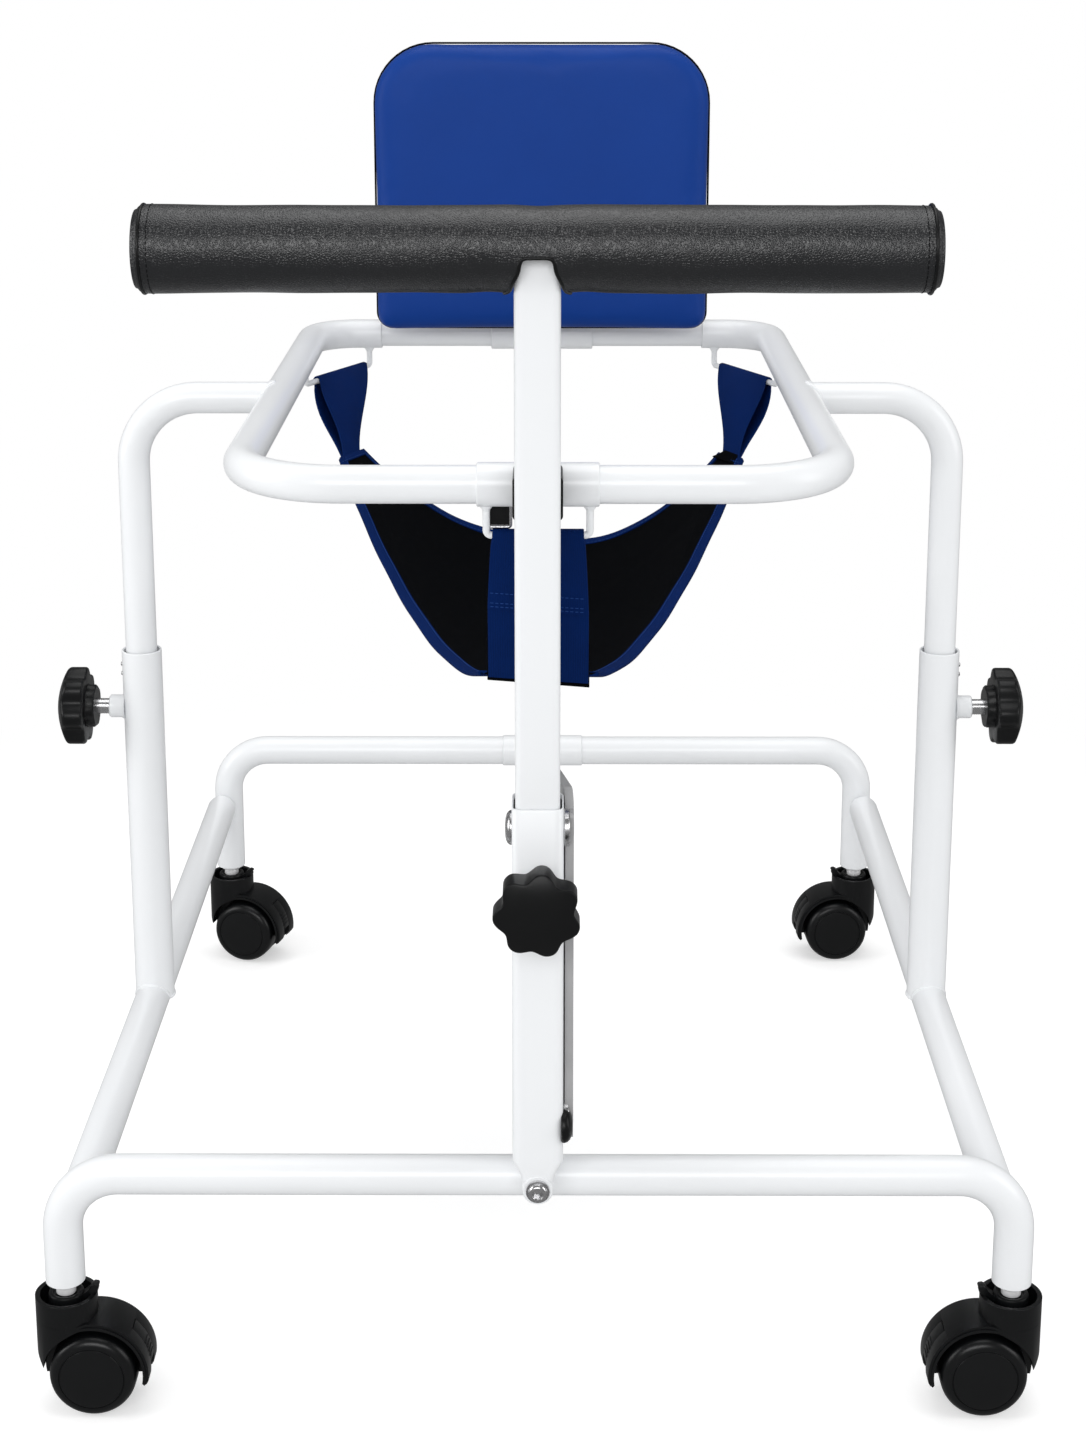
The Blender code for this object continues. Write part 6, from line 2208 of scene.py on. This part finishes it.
            extras.append(stitches("front_" + tag, row, self.finishes.thread, Body.UPPER, 0.0034, 0.00032))
        line_length(line) * 1.01

    def rear_strap(self, side: Side) -> None:
        """A rear strap: two layers over the wire, drawn together at the seat's corner.

        Args:
            side: The strap's side.
        """
        _, rear_low, front_low, _ = SupportRing(self.finishes).rear_loop(side)
        along = (front_low - rear_low).normalized()
        wire = (rear_low + front_low) / 2 - along * (self.left_shift if side is Side.LEFT else 0.0)
        end = Vector((side.value * self.rear_end[0], PLAN.y(self.rear_end[1]), self.rear_end[2]))
        run = end - wire
        down = run - along * run.dot(along)
        drop = down.length
        down.normalize()
        drift = run.dot(along) / drop
        outward = along.cross(down).normalized()
        if outward.y > 0:
            outward = -outward
        r, spots = self.wrap_r, []
        for i in range(18):
            share = 1.21 - 1.21 * i / 17
            gap = 0.0009 + (r - 0.0009) * max(1 - share, 0.0) ** 1.5 + 0.0022 * math.sin(math.pi * share)
            spots.append((share, gap, 0.0))
        for i in range(1, 8):
            turn = math.pi * i / 8
            spots.append((0.0, r * math.cos(turn), r * math.sin(turn)))
        for i in range(15):
            share = i / 14
            gap = -0.0009 - (r - 0.0009) * (1 - share) ** 1.5 - 0.0060 * math.sin(math.pi * share) ** 0.8
            spots.append((share, gap, 0.0))
        line = [wire + down * (drop * share - over) + along * (drift * drop * share) + outward * gap
                for share, gap, over in spots]
        narrowing = self.rear_top_width - self.rear_end_width
        widths = [self.rear_top_width - narrowing * (1 - math.cos(math.pi * min(share, 1.0))) / 2
                  for share, _, _ in spots]
        strap, word = self.strip(line, along, widths, self.strap_thickness), side.word
        obj = strap.done("rear_strap_" + word, self.finishes.navy, Body.UPPER, "sling_strap_" + word, 60)
        steps = [(b - a - along * (b - a).dot(along)).length for a, b in zip(line, line[1:])]
        area = sum(step * (u + v) / 2 for step, u, v in zip(steps, widths, widths[1:]))
        collar = self.corner_collar(side, end, along, down)
        "rear_loop_" + word

    def corner_collar(self, side: Side, end: Vector, along: Vector, down: Vector) -> bpy.types.Object:
        """The seat's corner where it is gathered round the strap's end.

        Args:
            side: The corner's side.
            end: The strap's end.
            along: The direction of the strap's width.
            down: The strap's direction.

        Returns:
            The collar.
        """
        normal, rings = along.cross(down).normalized(), []
        for reach, grow in ((-0.001, 0.94), (0.004, 1.15), (0.009, 1.5)):
            a, low, high = 0.0128 * grow, -0.0020 * grow, 0.0010 * grow
            outline = rounded_corners([(a, low), (a, high), (-a, high), (-a, low)], [0.0020] * 4, 4)
            rings.append([end + down * reach + along * u + normal * v for u, v in outline])
        form = Form().loft(rings)
        return form.done("sling_corner_" + side.word, self.finishes.mesh, Body.UPPER, angle=60)


# The studio


@dataclass
class Studio:
    """The floor, the lights and the camera."""

    camera_at: tuple[float, float, float] = (0.0089, -1.8399, 1.0317)
    pitch: float = 0.2304
    yaw: float = -0.0037
    lens: float = 58.44
    shift_y: float = -0.17
    floor_size: float = 14.0
    front_power: float = 51.0
    left_power: float = 24.0
    right_power: float = 16.0
    top_power: float = 38.0
    sky: float = 0.50
    sky_in_gloss: float = 0.18

    def build(self) -> None:
        """Builds the studio."""
        self.floor()
        self.world()
        self.area("front", (-0.35, -3.4, 1.9), 0.5, (2.6, 1.1), self.front_power)
        self.area("left", (-2.6, -0.6, 1.3), 0.5, (1.2, 1.8), self.left_power)
        self.area("right", (2.6, -0.9, 1.3), 0.5, (1.2, 1.8), self.right_power)
        self.area("top", (0.1, 0.3, 3.1), 0.4, (2.4, 2.4), self.top_power)
        self.camera()
        bpy.context.scene.view_settings.view_transform = 'Standard'

    def floor(self) -> None:
        """A white floor that shows only soft contact shadows."""
        bm = bmesh.new()
        bmesh.ops.create_grid(bm, x_segments=1, y_segments=1, size=self.floor_size / 2)
        mesh = bpy.data.meshes.new("floor")
        bm.to_mesh(mesh)
        bm.free()
        shader = Shader("floor_white")
        shader.set(Base_Color=(0.72, 0.72, 0.72, 1.0), Roughness=1.0, Specular_IOR_Level=0.0)
        seen = shader.node("ShaderNodeBsdfDiffuse", None, {"Color": (0.90, 0.90, 0.90, 1.0)})
        reach = shader.node("ShaderNodeVectorMath", {"operation": "LENGTH"}, {0: shader.coordinates()})
        far = Value(shader, reach.outputs["Value"]).step(0.65, 1.3)
        lift, pure, dim = (shader.node("ShaderNodeEmission", None, {"Color": WHITE, "Strength": strength})
                           for strength in (2.1, 1.0, 0.26))
        near = shader.node("ShaderNodeMixShader", None, {0: 0.20, 1: seen.outputs[0], 2: lift.outputs[0]})
        shown = shader.node("ShaderNodeMixShader", None, {0: far, 1: near.outputs[0], 2: pure.outputs[0]})
        rays = shader.node("ShaderNodeLightPath")
        unseen = shader.node("ShaderNodeMixShader", None, {0: rays.outputs["Is Glossy Ray"],
                                                           1: shader.surface.outputs[0], 2: dim.outputs[0]})
        final = shader.node("ShaderNodeMixShader", None, {0: rays.outputs["Is Camera Ray"],
                                                          1: unseen.outputs[0], 2: shown.outputs[0]})
        shader.put(shader.tree.nodes["Material Output"].inputs["Surface"], final.outputs[0])
        mesh.materials.append(shader.material)
        new_object("floor", mesh)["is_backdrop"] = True

    def world(self) -> None:
        """An even surround, pure white to the camera and dimmer in reflections."""
        world = bpy.data.worlds.new("surround")
        world.use_nodes = True
        tree = world.node_tree
        rays, light = tree.nodes.new("ShaderNodeLightPath"), tree.nodes["Background"]
        light.inputs["Color"].default_value = WHITE
        light.inputs["Strength"].default_value = self.sky
        shown = light.outputs[0]
        for ray, strength in (("Is Glossy Ray", self.sky_in_gloss), ("Is Camera Ray", 1.0)):
            light, mix = tree.nodes.new("ShaderNodeBackground"), tree.nodes.new("ShaderNodeMixShader")
            light.inputs["Color"].default_value = WHITE
            light.inputs["Strength"].default_value = strength
            for index, socket in enumerate((rays.outputs[ray], shown, light.outputs[0])):
                tree.links.new(socket, mix.inputs[index])
            shown = mix.outputs[0]
        tree.links.new(shown, tree.nodes["World Output"].inputs["Surface"])
        bpy.context.scene.world = world

    def area(self, name: str, at: Place, target_z: float, size: Point, power: float) -> None:
        """A soft light that points at the walker.

        Args:
            name: Its name.
            at: Where it hangs.
            target_z: The height that it points at, over the world's centre.
            size: Its width and height.
            power: Its power in watts.
        """
        light = bpy.data.lights.new(name, 'AREA')
        light.shape, light.energy = 'RECTANGLE', power
        light.size, light.size_y = size
        obj = new_object(name, light)
        obj.location = at
        obj.rotation_euler = (Vector((0.0, 0.0, target_z)) - Vector(at)).to_track_quat('-Z', 'Y').to_euler()

    def camera(self) -> None:
        """The camera, a little above the walker's front."""
        data = bpy.data.cameras.new("camera")
        data.sensor_width, data.lens, data.shift_y = 36.0, self.lens, self.shift_y
        obj, level = new_object("camera", data), math.cos(self.pitch)
        obj.location = self.camera_at
        ahead = Vector((math.sin(self.yaw) * level, math.cos(self.yaw) * level, -math.sin(self.pitch)))
        obj.rotation_euler = ahead.to_track_quat('-Z', 'Y').to_euler()
        bpy.context.scene.camera = obj


def dress_nodes(finishes: Wardrobe) -> None:
    """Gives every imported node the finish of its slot, so that what stays in view is dressed.

    Args:
        finishes: The finishes.
    """
    slots = {part["node"]: part["material_slot"] for part in frame["record"]["subparts"]}
    for name, node in frame["nodes"].items():
        for index in range(len(node.data.materials)):
            node.data.materials[index] = finishes.by_slot[slots[name]]


def write_size(key: str, sizes: dict[str, list[list[float]]]) -> None:
    """Args:
        key: The box's name.
        sizes: The boxes so far.
    """
    low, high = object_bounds()
    sizes[key] = [list(low), list(high)]


def main() -> None:
    """Builds every class in order."""
    logging.basicConfig(level=logging.INFO, format="%(name)s: %(message)s")
    sizes: dict[str, list[list[float]]] = {}
    write_size("frame", sizes)
    finishes = Wardrobe()
    dress_nodes(finishes)
    for sub_assembly in (BaseFrame, PostSleeve, LegDivider, SupportRing, PostGuide, Backrest, TBar):
        sub_assembly(finishes).build()
        LOG.info("%s built", sub_assembly.__name__)
    front_seat = Vector((0.0, PLAN.post_y - 0.0172 - 0.009, PLAN.knob_z))
    ClampKnob(finishes, "front", front_seat, Vector((0, -1, 0)), turned_deg=8.0).build()
    for side in Side:
        seat = Vector((side.value * (PLAN.upright_spacing / 2 + 0.0285), PLAN.upright_y, PLAN.knob_z))
        ClampKnob(finishes, side.word, seat, Vector((side.value, 0, 0)), radius=0.0317, body_h=0.0238,
                  dome_h=0.0085, crown=2.0, rim_r=0.0022, lobe_power=1.3, shown=0.0095,
                  turned_deg=-90.0 * side.value + 3.0).build()
    LOG.info("knobs built")
    patterns: dict[str, bpy.types.Mesh] = {}
    for end, side, turn in (("front", Side.LEFT, 0.0), ("front", Side.RIGHT, 180.0),
                            ("rear", Side.LEFT, -17.0), ("rear", Side.RIGHT, 184.0)):
        track, behind = (PLAN.front_track, 0.0) if end == "front" else (PLAN.rear_track, PLAN.wheelbase)
        Caster(finishes, f"{end}_{side.word}", side.value * track / 2, PLAN.y(behind), turn).build(patterns)
    LOG.info("casters built")
    Sling(finishes).build()
    LOG.info("sling built")
    Studio().build()
    write_size("visual", sizes)


if __name__ == "__main__":
    main()
